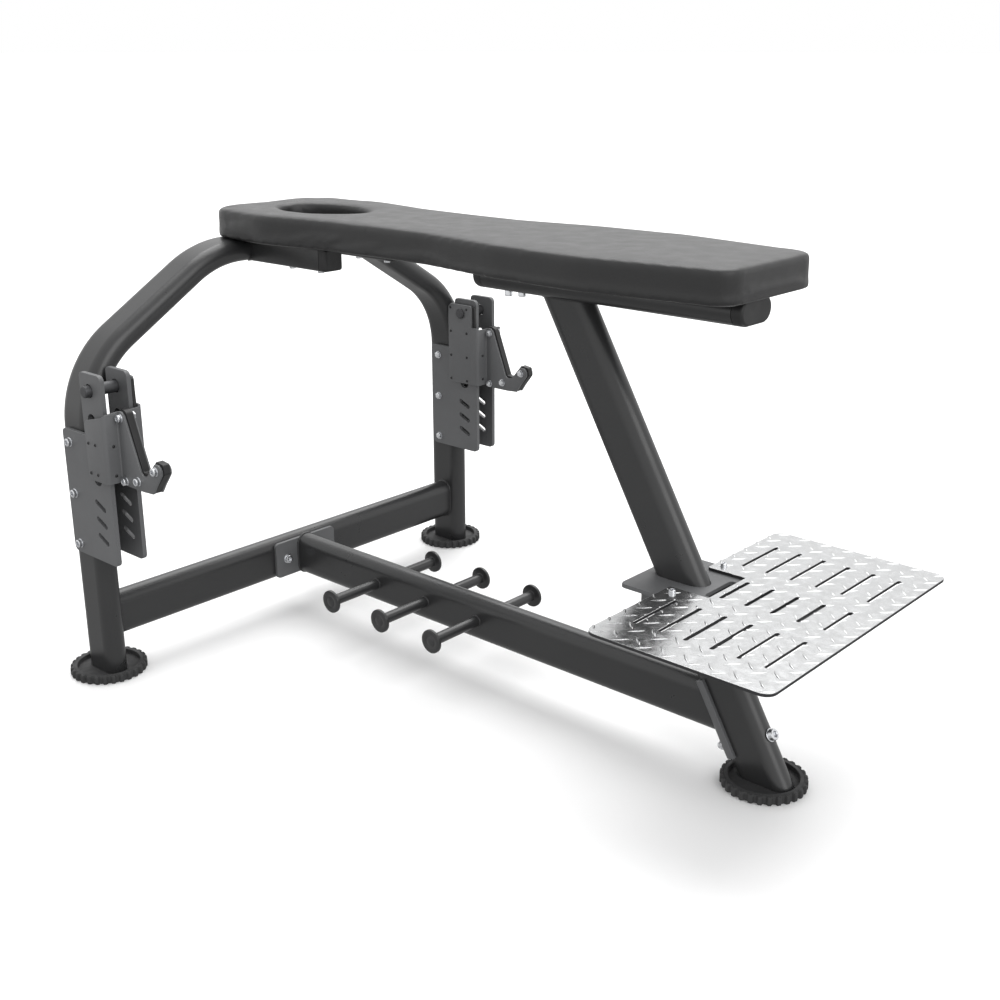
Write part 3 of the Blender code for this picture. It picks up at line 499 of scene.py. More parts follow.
level = np.array([post_low.z, 0.2, 0.5, post_high.z])[:, None]
level_oval = np.column_stack([oval[:, 0] / math.cos(POST_LEAN), oval[:, 1]])
rings = np.stack(np.broadcast_arrays(
    POST_FLOOR_X - level * math.tan(POST_LEAN) + level_oval[:, 0], level_oval[:, 1], level), -1)
shown("rear_post_tube", rings, skin(*rings.shape[:2]), frame_coat, "frame", "machine", "rear_post")
weld_bead("post_top_weld", np.column_stack([
    POST_FLOOR_X - post_high.z * math.tan(POST_LEAN) + level_oval[:, 0], level_oval[:, 1],
    np.full(len(oval), post_high.z)]), (0, 0, 1))

turn = np.linspace(math.pi / 2, 3 * math.pi / 2, 28)
inner, outer, ease = TUBE_THIN / 2 + 0.0003, TUBE_THIN / 2 + SADDLE_THICK, 0.0008
hug = np.vstack([
    np.column_stack([inner * np.cos(turn), inner * np.sin(turn)]),
    np.array([(0, -(outer - ease)), (-ease, -outer)]),
    np.column_stack([outer * np.cos(turn[::-1]), outer * np.sin(turn[::-1])])[1:-1],
    np.array([(-ease, outer), (0, outer - ease)]),
]) - ((TUBE_LONG - TUBE_THIN) / 2, 0)
saddle_rows = np.array([(0.069, 0.93), (0.0698, 1.0), (0.2252, 1.0), (0.226, 0.93)])
grown = hug + (saddle_rows[:, None, 1:2] - 1) * (hug - (-0.025, 0)) * 0.35
rings = post_point(grown[..., 0], grown[..., 1], saddle_rows[:, :1])
shown("spine_saddle_plate", rings, skin(*rings.shape[:2]), bracket_coat, "bracket", "machine",
      "spine_rear_saddle")
bolt_along, bolt_front, bolt_rear = 0.091, -TUBE_LONG / 2 - SADDLE_THICK - 0.016, TUBE_LONG / 2 + 0.011
socket_bolt(
    "post_long_bolt", post_point(bolt_front, 0, bolt_along), post_point(bolt_rear, 0, bolt_along), 0.0154,
    bolt_rear - bolt_front - 0.0107, 0.011, bright_zinc, "zinc", "machine", "post_bolt",
)

# Rail under the pad: flat-oval tube lying flat on the post's top, closed by a moulded black cap at each end.
# Two bolts come up through it into the pad's board, their heads below.
black_plastic = grained(
    "black_plastic", (0.0095, 0.0095, 0.010), (0.0155, 0.0155, 0.016), (0.40, 0.54), 0.0, 10, 1300, 0.0001,
)
rail_low, rail_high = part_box("pad_rail")
RAIL_Z = (rail_low.z + rail_high.z) / 2
along = np.linspace(rail_low.x, rail_high.x, 4)[:, None]
rings = np.stack(np.broadcast_arrays(along, oval[:, 0], RAIL_Z + oval[:, 1]), -1)
shown("rail_long_tube", rings, skin(*rings.shape[:2]), frame_coat, "frame", "machine", "pad_rail")

# Each cap is a seam where it meets the tube, a straight band and a softly rounded end: rows of (way out, the
# outline's shrinkage).
cap_steps = np.array([(0.0003, 0.0015), (0.0011, 0.0000), (0.0160, 0.0000), (0.0192, 0.0010),
                      (0.0211, 0.0028), (0.0220, 0.0060)])
for cap_name, way in (("rail_front_cap", -1), ("rail_rear_cap", 1)):
    low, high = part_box(cap_name)
    root_x = high.x + 0.0003 if way < 0 else low.x - 0.0003
    rings = []
    for out, shrink in cap_steps:
        smaller = flat_oval(TUBE_LONG - 2 * shrink, TUBE_THIN - 2 * shrink)
        rings.append(np.column_stack([
            np.full(len(smaller), root_x + way * out), smaller[:, 0], RAIL_Z + smaller[:, 1]]))
    shown(cap_name + "_moulding", rings, skin(len(rings), len(rings[0])), black_plastic, "plastic", "machine",
          cap_name)

for i, (x, drop) in enumerate(((0.711, 0.0133), (0.746, 0.0105))):
    at = (HEAD_X + x, -0.012)
    socket_bolt(f"rail_screw_{i + 1}", (*at, rail_low.z + 0.020), (*at, rail_low.z - drop), 0.012, 0.020,
                0.0078, bright_zinc, "zinc", "machine")

# Head supports: two rectangular tubes welded to the arch's crown, one each side of the face opening, closed
# by moulded caps and screwed to the pad's board from below.
SUPPORT_CORNER = 0.006
for side, way in (("left", -1), ("right", 1)):
    low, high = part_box(side + "_head_support")
    middle_y, middle_z = (low.y + high.y) / 2, (low.z + high.z) / 2
    half_y, half_z = (high.y - low.y) / 2, (high.z - low.z) / 2
    box_outline = rounded(
        [(a * half_y, b * half_z, SUPPORT_CORNER) for a, b in ((-1, -1), (1, -1), (1, 1), (-1, 1))], 6)
    along = np.array([HEAD_X + 0.030, HEAD_X + 0.15, high.x])[:, None]
    rings = np.stack(np.broadcast_arrays(
        along, middle_y + box_outline[:, 0], middle_z + box_outline[:, 1]), -1)
    shown(side + "_support_tube", rings, skin(*rings.shape[:2]), frame_coat, "frame", "machine",
          side + "_head_support", sharp=50)
    rings = np.stack([
        np.stack(np.broadcast_arrays(
            high.x + out, middle_y + box_outline[:, 0] * (1 - shrink / half_y),
            middle_z + box_outline[:, 1] * (1 - shrink / half_z)), -1)
        for out, shrink in cap_steps
    ])
    shown(side + "_support_moulding", rings, skin(*rings.shape[:2]), black_plastic, "plastic", "machine",
          side + "_support_cap", sharp=50)
    round_end = TUBE_THIN / 2
    crown = round_end + np.sqrt(np.maximum(round_end**2 - (box_outline[:, 1] * 0.99) ** 2, 0))
    weld_bead(side + "_support_weld", np.column_stack([
        HEAD_X + crown, middle_y + box_outline[:, 0], middle_z + box_outline[:, 1]]), (1, 0, 0), 0.0022)
    for i, x in enumerate((0.157, 0.251)):
        at = (HEAD_X + x, middle_y)
        socket_bolt(f"{side}_support_screw_{i + 1}", (*at, low.z + 0.02), (*at, low.z - 0.0075), 0.012, 0.020,
                    0.0070, bright_zinc, "zinc", "machine")

# Pad: one long upholstered top, foam on a board, covered in black vinyl that wraps down over the board's edge
# and is stapled under it. It is wide at the head, waisted, widest at the hips, and has an oval opening for
# the face.
PAD_STATIONS = (0.01, 0.15, 0.33, 0.48, 0.62, 0.80, 1.00, 1.255)
PAD_HALF_WIDTHS = (0.165, 0.180, 0.149, 0.143, 0.144, 0.174, 0.183, 0.146)
PAD_ENDS = (0.018, 1.251)  # where the end arcs have their centres
HEAD_CORNER = 0.078
FOOT_CORNER = 0.045
TOP_ROUND = 0.009
FACE_HOLE_X = HEAD_X + 0.155
FACE_HOLE_HALF = (0.118, 0.078)
cushion_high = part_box("pad_cushion")[1]
board_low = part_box("pad_board")[0]


def pad_edge(inset):
    """The pad's plan outline brought in by inset: straight-blended half widths along the sides, softened by a
    running mean, and an arc at each corner."""
    x = np.linspace(*PAD_ENDS, 150)
    wide = np.linspace(-0.06, 1.3, 1500)
    straight = np.pad(np.interp(wide, PAD_STATIONS, PAD_HALF_WIDTHS), 30, "edge")
    soft = np.convolve(straight, np.ones(61) / 61, "valid")
    side = np.column_stack([x, np.interp(x, wide, soft) - inset])
    head = np.linspace(math.pi, math.pi / 2, 14)[:-1]
    foot = np.linspace(math.pi / 2, 0, 12)[1:]
    corners = []
    for turn, radius, centre in ((head, HEAD_CORNER, side[0]), (foot, FOOT_CORNER, side[-1])):
        centre_y = centre[1] + inset - radius
        corners.append(np.column_stack([
            centre[0] + (radius - inset) * np.cos(turn), centre_y + (radius - inset) * np.sin(turn)]))
    half = np.vstack([corners[0], side, corners[1]])
    return np.vstack([half, half[::-1] * (1, -1)]) + (HEAD_X, 0)


def face_opening(grow, count):
    """The oval opening's outline, grown by grow."""
    turn = np.linspace(0, 2 * math.pi, count, endpoint=False)
    return np.column_stack([FACE_HOLE_X + (FACE_HOLE_HALF[0] + grow) * np.cos(turn),
                            (FACE_HOLE_HALF[1] + grow) * np.sin(turn)])


def pad_solid(name, shrink):
    """The pad's closed body with its opening, its faces drawn in by shrink; its upper edges turn over on a
    round of 9 mm, outside and in the opening."""
    top, bottom = cushion_high.z - shrink, board_low.z + shrink * 0.3
    turn = np.linspace(0, math.pi / 2, 6)
    over, away = TOP_ROUND * np.sin(turn), TOP_ROUND * (1 - np.cos(turn))
    heights = np.concatenate([[bottom, bottom + 0.002], top - TOP_ROUND + over])
    insets = np.concatenate([[0.002, 0], away]) + shrink
    rings = np.stack([
        np.column_stack([pad_edge(i), np.full(len(pad_edge(0)), z)]) for z, i in zip(heights, insets)])
    count = rings.shape[1]
    body = bmesh.new()
    verts = [body.verts.new(p) for p in rings.reshape(-1, 3)]
    for face in skin(len(rings), count):
        body.faces.new([verts[i] for i in face])
    mesh = bpy.data.meshes.new(name)
    body.to_mesh(mesh)
    body.free()
    made = bpy.data.objects.new(name, mesh)
    bpy.context.scene.collection.objects.link(made)
    hole_z = np.concatenate([[bottom - 0.02, bottom + 0.002], top - TOP_ROUND + over, [top + 0.02]])
    hole_out = np.concatenate([[0.0, 0.0], away, [TOP_ROUND]]) + shrink
    hole = np.stack([
        np.column_stack([face_opening(i, 96), np.full(96, z)]) for z, i in zip(hole_z, hole_out)])
    cutter_mesh = bpy.data.meshes.new("opening")
    cutter_mesh.from_pydata(hole.reshape(-1, 3).tolist(), [], skin(len(hole), 96))
    for m in (mesh, cutter_mesh):
        fix = bmesh.new()
        fix.from_mesh(m)
        bmesh.ops.recalc_face_normals(fix, faces=fix.faces)
        fix.to_mesh(m)
        fix.free()
    cutter = bpy.data.objects.new("opening", cutter_mesh)
    bpy.context.scene.collection.objects.link(cutter)
    opening = made.modifiers.new("opening", "BOOLEAN")
    opening.operation = "DIFFERENCE"
    opening.object = cutter
    settled = bpy.data.meshes.new_from_object(made.evaluated_get(bpy.context.evaluated_depsgraph_get()))
    made.modifiers.clear()
    made.data = settled
    bpy.data.objects.remove(cutter)
    return made


def points_of(mesh):
    """The mesh's points as one array."""
    found = np.empty(len(mesh.vertices) * 3)
    mesh.vertices.foreach_get("co", found)
    return found.reshape(-1, 3)


def settle(obj):
    """Replaces the object's mesh by what its modifiers make of it now."""
    graph = bpy.context.evaluated_depsgraph_get()
    made = bpy.data.meshes.new_from_object(obj.evaluated_get(graph))
    obj.modifiers.clear()
    obj.data = made


# The body's mesh is made even, blown up a little from inside with its stapled edge held, and smoothed. The
# real cover is drawn tight, so no point may move further than the swell.
MESH_SIZE = 0.0055
STAPLED_HEIGHT = 0.013  # of the cover's lower edge, over the board
SWELL = 0.0015
pad_cover = pad_solid("pad_vinyl_cover", 0.0015)
remesh = pad_cover.modifiers.new("even_mesh", "REMESH")
remesh.mode = "VOXEL"
remesh.voxel_size = MESH_SIZE
settle(pad_cover)
before = points_of(pad_cover.data)
held = pad_cover.vertex_groups.new(name="stapled")
held.add(np.flatnonzero(before[:, 2] < board_low.z + STAPLED_HEIGHT).tolist(), 1.0, "REPLACE")
cloth = pad_cover.modifiers.new("stuffing", "CLOTH")
cloth.settings.quality = 4
cloth.settings.use_pressure = True
cloth.settings.uniform_pressure_force = 4.0
cloth.settings.effector_weights.gravity = 0.0
cloth.settings.vertex_group_mass = "stapled"
cloth.collision_settings.use_collision = False
for step in range(1, 21):
    bpy.context.scene.frame_set(step)
settle(pad_cover)
bpy.context.scene.frame_set(1)
moved = points_of(pad_cover.data) - before
size = np.linalg.norm(moved, axis=1)[:, None]
moved *= np.minimum(1, SWELL / np.maximum(size, 1e-9))
pad_cover.data.vertices.foreach_set("co", (before + moved).ravel())
pad_cover.vertex_groups.clear()
smooth = pad_cover.modifiers.new("smooth", "SMOOTH")
smooth.factor = 0.5
smooth.iterations = 2
finer = pad_cover.modifiers.new("finer", "SUBSURF")
finer.levels = finer.render_levels = 1
settle(pad_cover)
pad_cover.data.shade_smooth()


def vinyl():
    """Upholstery vinyl: two close tones of black, a cell grain like hide with creases between the cells, and
    broader sheen patches where it has been handled."""
    made = grained("pad_vinyl", (0.0100, 0.0100, 0.0104), (0.0150, 0.0150, 0.0154), (0.35, 0.43), 0.0, 9,
                   1500, 0.00008, Coat_Weight=0.05, Coat_Roughness=0.4)
    tree = made.node_tree
    shader = tree.nodes["Principled BSDF"]
    place = tree.nodes["Texture Coordinate"].outputs["Object"]
    cells = node_in(
        tree, "ShaderNodeTexVoronoi", {"Vector": place, "Scale": 520.0}, feature="DISTANCE_TO_EDGE")
    crease = node_in(
        tree, "ShaderNodeMapRange", {0: cells.outputs["Distance"], 1: 0.0, 2: 0.22, 3: 0.0, 4: 1.0})
    last = shader.inputs["Normal"].links[0].from_socket
    hide = node_in(tree, "ShaderNodeBump", {
        "Strength": 0.55, "Distance": 0.00022, "Height": crease.outputs[0], "Normal": last})
    tree.links.new(hide.outputs[0], shader.inputs["Normal"])
    return made


pad_cover.data.materials.clear()
pad_cover.data.materials.append(vinyl())
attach(pad_cover, "machine")
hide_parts("pad_cushion", "pad_board")

# Foot plate: 6 mm tread plate, notched round the post, with three rows of sawn slots that let dirt through.
# The raised lens-shaped bars lie at right angles in turn, as they were rolled, and the cuts go through them.
# The cut edges, the slot walls and the underside, every face that does not look up, get a dark finish:
# painted shade.
plate_low, plate_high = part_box("foot_plate")
NOTCH_DEPTH = 0.083
NOTCH_HALF = 0.063
SLOT_FIRST_X = HEAD_X + 1.200
SLOT_PITCH = 0.052
SLOT_WIDTH = 0.008
TREAD_PITCH = (0.0475, 0.0445)
TREAD_BAR = (0.031, 0.0058, 0.0012)  # length, width, height
PLATE_CORNER = 0.022
NOTCH_CORNER = 0.003
x0, x1, y1 = plate_low.x, plate_high.x, plate_high.y
notch_x = x0 + NOTCH_DEPTH
plate_edge = rounded([
    (x0, -y1, PLATE_CORNER), (x1, -y1, PLATE_CORNER), (x1, y1, PLATE_CORNER), (x0, y1, PLATE_CORNER),
    (x0, NOTCH_HALF, NOTCH_CORNER), (notch_x, NOTCH_HALF, NOTCH_CORNER),
    (notch_x, -NOTCH_HALF, NOTCH_CORNER), (x0, -NOTCH_HALF, NOTCH_CORNER),
])
plate_slots = []
for row_y, length, first in ((-0.175, 0.130, 0), (0, 0.098, 1), (0.175, 0.130, 0)):
    for i in range(first, 6):
        plate_slots.append(flat_oval(length, SLOT_WIDTH, 9)[:, ::-1] + (SLOT_FIRST_X + i * SLOT_PITCH, row_y))


def tread_steel():
    """Galvanised tread plate: bright spangled steel, brushed a little along the plate, scuffed where it is
    walked on."""
    made = grained(
        "tread_steel", (0.58, 0.585, 0.59), (0.68, 0.685, 0.69), (0.13, 0.25), 1.0, 22, 1800, 0.00004)
    tree = made.node_tree
    shader = tree.nodes["Principled BSDF"]
    place = tree.nodes["Texture Coordinate"].outputs["Object"]
    stretched = node_in(tree, "ShaderNodeMapping", {"Vector": place, "Scale": (6.0, 260.0, 60.0)})
    brushed = node_in(
        tree, "ShaderNodeTexNoise", {"Vector": stretched.outputs[0], "Scale": 3.0, "Detail": 5.0})
    last = shader.inputs["Normal"].links[0].from_socket
    lines = node_in(tree, "ShaderNodeBump", {
        "Strength": 0.12, "Distance": 0.0001, "Height": brushed.outputs[0], "Normal": last})
    tree.links.new(lines.outputs[0], shader.inputs["Normal"])
    return made


plate_steel = tread_steel()
plate_mesh = cut_plate(plate_edge, plate_slots, plate_high.z - plate_low.z, 0.0005)
tread = plate_piece("tread_plate", plate_mesh, Matrix.Translation((0, 0, (plate_low.z + plate_high.z) / 2)),
                    plate_steel, "checker_plate", "machine", "foot_plate")
# Painted shade: a near-black steel for the faces that do not look up, chosen by the way each face turns.
painted_shade_steel = grained(
    "painted_shade_steel", (0.020, 0.020, 0.021), (0.045, 0.045, 0.047), (0.50, 0.70), 0.3, 30, 1500, 0.00006,
)
tread.data.materials.append(painted_shade_steel)
# Every face whose normal leans more than 60 degrees from straight up takes the painted shade finish.
for face in tread.data.polygons:
    face.material_index = int(face.normal.z < 0.5)


def tread_bars():
    """All the raised bars as one array of closed lenses.

    A bar's width at u along it is 1 - u squared, and its height across the width is a half sine; alternate
    bars turn a right angle and sit about half a pitch on."""
    u = np.array([-0.985, -0.75, -0.4, 0.0, 0.4, 0.75, 0.985])[:, None]
    turn = np.linspace(0, math.pi, 5)
    arc = np.concatenate([turn, [math.pi * 1.5]])[None, :]
    long, wide, tall = TREAD_BAR
    taper = 1 - u**2
    bar = np.stack(np.broadcast_arrays(
        u * long / 2, np.cos(arc) * wide / 2 * taper,
        np.where(np.sin(arc) < 0, -0.0008, np.sin(arc) * tall * taper**0.6)), -1)
    i, j = np.meshgrid(np.arange(-1, 10), np.arange(-9, 10), indexing="ij")
    centres = []
    for shift, angle in (((0, 0), math.radians(45)), ((0.57, 0.32), math.radians(-45))):
        x = HEAD_X + 1.412 - 5 * TREAD_PITCH[0] + (i + shift[0]) * TREAD_PITCH[0]
        y = -0.2645 + 6 * TREAD_PITCH[1] + (j + shift[1]) * TREAD_PITCH[1]
        centres.append(np.stack([x.ravel(), y.ravel(), np.full(x.size, angle)], -1))
    centres = np.vstack(centres)
    past = 0.01
    inside = (centres[:, 0] > x0 - past) & (centres[:, 0] < x1 + past) & (abs(centres[:, 1]) < y1 + past)
    centres = centres[inside]
    c, s = np.cos(centres[:, 2])[:, None, None], np.sin(centres[:, 2])[:, None, None]
    x = centres[:, 0][:, None, None] + bar[None, ..., 0] * c - bar[None, ..., 1] * s
    y = centres[:, 1][:, None, None] + bar[None, ..., 0] * s + bar[None, ..., 1] * c
    z = np.broadcast_to(plate_high.z - 0.0001 + bar[None, ..., 2], x.shape)
    one = np.array([face for face in skin(len(u), 6) if len(face) == 4])
    ends = np.array([face for face in skin(len(u), 6) if len(face) == 6])
    step = np.arange(len(centres))[:, None, None] * bar.shape[0] * bar.shape[1]
    faces = (one[None] + step).reshape(-1, 4).tolist() + (ends[None] + step).reshape(-1, 6).tolist()
    return np.stack([x, y, z], -1).reshape(-1, 3), faces


bar_points, bar_faces = tread_bars()
bars = shown("tread_raised_bars", bar_points, bar_faces, plate_steel, "checker_plate", "machine", sharp=60)
limits_mesh = cut_plate(plate_edge, plate_slots, 0.012, 0.0003)
limits_mesh.transform(Matrix.Translation((0, 0, plate_high.z)))
limits = bpy.data.objects.new("plate_limits", limits_mesh)
bpy.context.scene.collection.objects.link(limits)
trim = bars.modifiers.new("trim", "BOOLEAN")
trim.operation = "INTERSECT"
trim.object = limits
trimmed = bpy.data.meshes.new_from_object(bars.evaluated_get(bpy.context.evaluated_depsgraph_get()))
bars.modifiers.clear()
bars.data = trimmed
bpy.data.objects.remove(limits)

# Plate bracket: a steel plate with two ribs, welded round the post. The tread plate lies on it and is held
# down by a bright screw each side of the post.
def eased_copy(name, node, width, finish, body):
    """A merged copy of the CAD node's solid with its flat faces joined up and its edges a little rounded."""
    shape = bmesh.new()
    shape.from_mesh(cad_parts[node].data)
    bmesh.ops.remove_doubles(shape, verts=shape.verts, dist=2e-5)
    bmesh.ops.dissolve_limit(shape, angle_limit=math.radians(1), verts=shape.verts, edges=shape.edges)
    mesh = bpy.data.meshes.new(name)
    shape.to_mesh(mesh)
    shape.free()
    mesh.materials.clear()
    mesh.materials.append(finish)
    mesh.shade_smooth()
    mesh.set_sharp_from_angle(angle=math.radians(40))
    made = bpy.data.objects.new(name, mesh)
    bpy.context.scene.collection.objects.link(made)
    edge = made.modifiers.new("edge_round", "BEVEL")
    edge.width = width
    edge.segments = 2
    edge.limit_method = "ANGLE"
    edge.angle_limit = math.radians(40)
    edge.harden_normals = True
    edge.use_clamp_overlap = False
    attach(made, body)
    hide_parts(node)
    return flat_faced(made)


eased_copy("plate_bracket", "foot_plate_bracket", 0.0005, bracket_coat, "machine")
bracket_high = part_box("foot_plate_bracket")[1]
for i, y in enumerate((-0.086, 0.086)):
    at = (HEAD_X + 1.173, y)
    socket_bolt(f"plate_screw_{i + 1}", (*at, bracket_high.z - 0.018), (*at, bracket_high.z + 0.0128), 0.0090,
                0.0243, 0.0062, bright_zinc, "zinc", "machine")

# Band pegs: three round steel bars through the spine, each end closed by a disc that keeps a band on.
PEG_RADIUS = 0.012
PEG_DISC = (0.026, 0.007)  # radius, thickness
turn = np.linspace(0, 2 * math.pi, 56, endpoint=False)
for side, way in (("left", -1), ("right", 1)):
    for i in range(3):
        peg_node = f"{side}_band_peg_{i + 1}"
        low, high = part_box(peg_node)
        tip, peg_x = max(abs(low.y), abs(high.y)), (low.x + high.x) / 2
        disc, thick = PEG_DISC
        back = tip - thick
        rows = np.array([
            (TUBE_THIN / 2 - 0.001, PEG_RADIUS), (back - 0.0015, PEG_RADIUS),
            (back - 0.0005, PEG_RADIUS + 0.0012), (back, PEG_RADIUS + 0.003), (back, disc - 0.0012),
            (back + 0.0004, disc - 0.0003), (back + 0.0014, disc), (tip - 0.0016, disc),
            (tip - 0.0005, disc - 0.0004), (tip, disc - 0.0015), (tip, PEG_RADIUS + 0.0012),
            (tip - 0.0006, PEG_RADIUS + 0.0004), (tip - 0.0006, PEG_RADIUS - 0.0006),
            (tip, PEG_RADIUS - 0.0014), (tip, 0.002),
        ])
        rings = np.stack(np.broadcast_arrays(
            peg_x + rows[:, 1:] * np.cos(turn), way * rows[:, :1], BAR_Z + rows[:, 1:] * np.sin(turn)), -1)
        shown(f"{side}_peg_bar_{i + 1}", rings, skin(*rings.shape[:2]), frame_coat, "frame", "machine",
              peg_node)
        weld_bead(f"{side}_peg_weld_{i + 1}", np.column_stack([
            peg_x + PEG_RADIUS * np.cos(turn), np.full(len(turn), way * TUBE_THIN / 2),
            BAR_Z + PEG_RADIUS * np.sin(turn)]), (0, way, 0), 0.0020)

# Guide plates: two 10 mm laser-cut plates on each leg, one each side, with a column of pin holes, three
# slanted slots and three through-bolts. The hook's pin goes through both tongues.
PIN_X = HEAD_X + 0.094
PIN_Z = 0.657
guide_edge = rounded([
    (-0.025, 0.288, 0.014), (0.138, 0.288, 0.012), (0.138, 0.693, 0.012), (0.062, 0.693, 0.010),
    (0.062, 0.560, 0.004), (-0.025, 0.560, 0.010),
]) + (HEAD_X, 0)
tilt = math.radians(25)
HOLE_RADIUS = 0.014
HOLE_PITCH = 0.062
guide_holes = [circle(HOLE_RADIUS, (PIN_X, PIN_Z - i * HOLE_PITCH)) for i in range(4)]
for z in (0.413, 0.376, 0.339):
    slot_shape = flat_oval(0.040, 0.011, 10)
    guide_holes.append(np.column_stack([
        slot_shape[:, 0] * math.cos(tilt) + slot_shape[:, 1] * math.sin(tilt),
        -slot_shape[:, 0] * math.sin(tilt) + slot_shape[:, 1] * math.cos(tilt)]) + (PIN_X - 0.001, z))
for side, way in (("left", -1), ("right", 1)):
    for place in ("outer", "inner"):
        node = f"{side}_{place}_guide_plate"
        low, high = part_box(node)
        plate_piece(node + "_cut", cut_plate(guide_edge, guide_holes, high.y - low.y, 0.0007),
                    Matrix.Translation((0, (low.y + high.y) / 2, 0)) @ ALONG_Y, bracket_coat, "bracket",
                    "machine", node)
    for i in range(3):
        node = f"{side}_guide_bolt_{i + 1}"
        low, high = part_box(node)
        x, z = (low.x + high.x) / 2, (low.z + high.z) / 2
        near, far = (low.y, high.y) if way > 0 else (high.y, low.y)
        socket_bolt(f"{side}_guide_screw_{i + 1}", (x, near, z), (x, far, z), NUT_DEPTH,
                    abs(far - near) - HEAD_HEIGHT, 0.0085, bright_zinc, "zinc", "machine", node)

# Bar hooks: two bent 5 mm steel sheets on a plastic core, swinging on a round pin. Each sheet is a wing
# beside a guide plate, half of the front face and one cheek of the hook. Black strips between the wing and
# the guide plate keep it from rattling.
SHEET_THICK = 0.005
LINER_THICK = 0.006
FRONT_X = 0.147
HOOK_HALF_WIDTH = 0.01275
LINER_FACE = 0.0356
WING_FACE = 0.0419
# The cheek from its bend to the hook's tip, as rows of (x, low edge, high edge).
CHEEK = np.array([
    (0.158, 0.468, 0.622), (0.167, 0.467, 0.622), (0.175, 0.467, 0.615), (0.217, 0.467, 0.507),
    (0.225, 0.467, 0.500), (0.238, 0.468, 0.502), (0.2555, 0.469, 0.520), (0.268, 0.487, 0.534),
    (0.280, 0.502, 0.534), (0.286, 0.510, 0.530), (0.289, 0.514, 0.524),
])
pin_coat = grained(
    "pin_coat", (0.050, 0.051, 0.054), (0.085, 0.086, 0.090), (0.36, 0.50), 0.5, 20, 1600, 0.00006,
)


def bent_sheet(name, half_width, face, thick, wing_x, front_x, edges, tail, side_way, finish, slot, body,
               node):
    """A bent sheet: a rounded flat section carried along the wing, round to the front and, with a tail, round
    again along the cheek. edges gives the sheet's low and high edge at the path's key points: those at
    wing_x, four round each bend, and those of the tail.

    The path is straight runs and quarter turns of 6 mm; the section's two faces are half the thickness along
    the path's normal, and its four corners are rounded by 0.8 mm."""
    wing, front, bend = face + thick / 2, front_x + thick / 2, 0.006
    path = [(x, wing, 0, 1) for x in (*wing_x, front - bend)]
    turned = len(wing_x)
    place = list(range(turned + 1))
    for share in np.linspace(0, 1, 8)[1:]:
        s, c = math.sin(share * math.pi / 2), math.cos(share * math.pi / 2)
        path.append((front - bend * (1 - s), wing - bend * (1 - c), s, c))
        place.append(turned + 3 * share)
    if tail is None:
        path.append((front, half_width, 1, 0))
        place.append(turned + 4)
    else:
        cheek = half_width - thick / 2
        path.append((front, cheek + bend, 1, 0))
        place.append(turned + 4)
        for share in np.linspace(1, 0, 8)[1:]:
            s, c = math.sin(share * math.pi / 2), math.cos(share * math.pi / 2)
            path.append((front + bend * (1 - s), cheek + bend * (1 - c), s, c))
            place.append(turned + 4 + 3 * (1 - share))
        for i, x in enumerate(tail):
            path.append((x, cheek, 0, 1))
            place.append(turned + 8 + i)
    path, edges = np.array(path), np.array(edges)
    low = np.interp(place, np.arange(len(edges)), edges[:, 0])
    high = np.interp(place, np.arange(len(edges)), edges[:, 1])
    ease = 0.0008
    quarter = np.linspace(0, math.pi / 2, 4)
    corners = []
    for across, up, first in ((1, 1, 0), (-1, 1, 1), (-1, -1, 2), (1, -1, 3)):
        turn = quarter + first * math.pi / 2
        corners.append(np.column_stack([
            across * (thick / 2 - ease) + ease * np.cos(turn), np.full(4, up), ease * (np.sin(turn) - up)]))
    ring = np.vstack(corners)
    offset = ring[:, 0][None, :]
    z = np.where(ring[:, 1] > 0, high[:, None], low[:, None]) + ring[:, 2]
    x = HEAD_X + path[:, :1] + offset * path[:, 2:3]
    w = path[:, 1:2] + offset * path[:, 3:4]
    middle, out = side_way
    rings = np.stack([x, middle + out * w, z], -1)
    return shown(name, rings, skin(*rings.shape[:2]), finish, slot, body, node, sharp=42)


SHORT_WING = [(0.480, 0.590), (0.473, 0.599), (0.473, 0.612), (0.473, 0.614), (0.473, 0.616), (0.473, 0.618),
              (0.473, 0.619), (0.472, 0.620), (0.470, 0.621), (0.468, 0.621)]
TALL_WING = [(0.480, 0.672), (0.473, 0.680), (0.473, 0.680), (0.473, 0.6785), (0.473, 0.673), (0.473, 0.624),
             (0.473, 0.624), (0.473, 0.624), (0.473, 0.622), (0.473, 0.620), (0.473, 0.619), (0.472, 0.620),
             (0.470, 0.621), (0.468, 0.621)]
STRIP_TURN = [(0.474, 0.610), (0.474, 0.606), (0.474, 0.604), (0.474, 0.604)]


def small_screws(name, places, finish, slot, body):
    """Low dome-headed screws as one array: rows of (height, radius) turned round each place's own axis, which
    is X or Y, with a small round recess in the top."""
    turn = np.linspace(0, 2 * math.pi, 18, endpoint=False)
    rows = np.array([(-0.001, 0.0030), (0.0, 0.0034), (0.0008, 0.0032), (0.0015, 0.0024), (0.0018, 0.0016),
                     (0.0018, 0.0014), (0.0008, 0.0013), (0.0007, 0.0003)])
    points, faces = [], []
    for (x, y, z), axis, way in places:
        a, b = rows[:, 1:] * np.cos(turn), rows[:, 1:] * np.sin(turn) * way
        out = np.broadcast_to(way * rows[:, :1], a.shape)
        if axis == "Y":
            rings = np.stack([x + a, y + out, z + b], -1)
        else:
            rings = np.stack([x + out, y - a, z + b], -1)
        faces += skin(len(rows), len(turn), first=len(points) * rings.shape[0] * rings.shape[1])
        points.append(rings.reshape(-1, 3))
    return shown(name, np.vstack(points), faces, finish, slot, body)


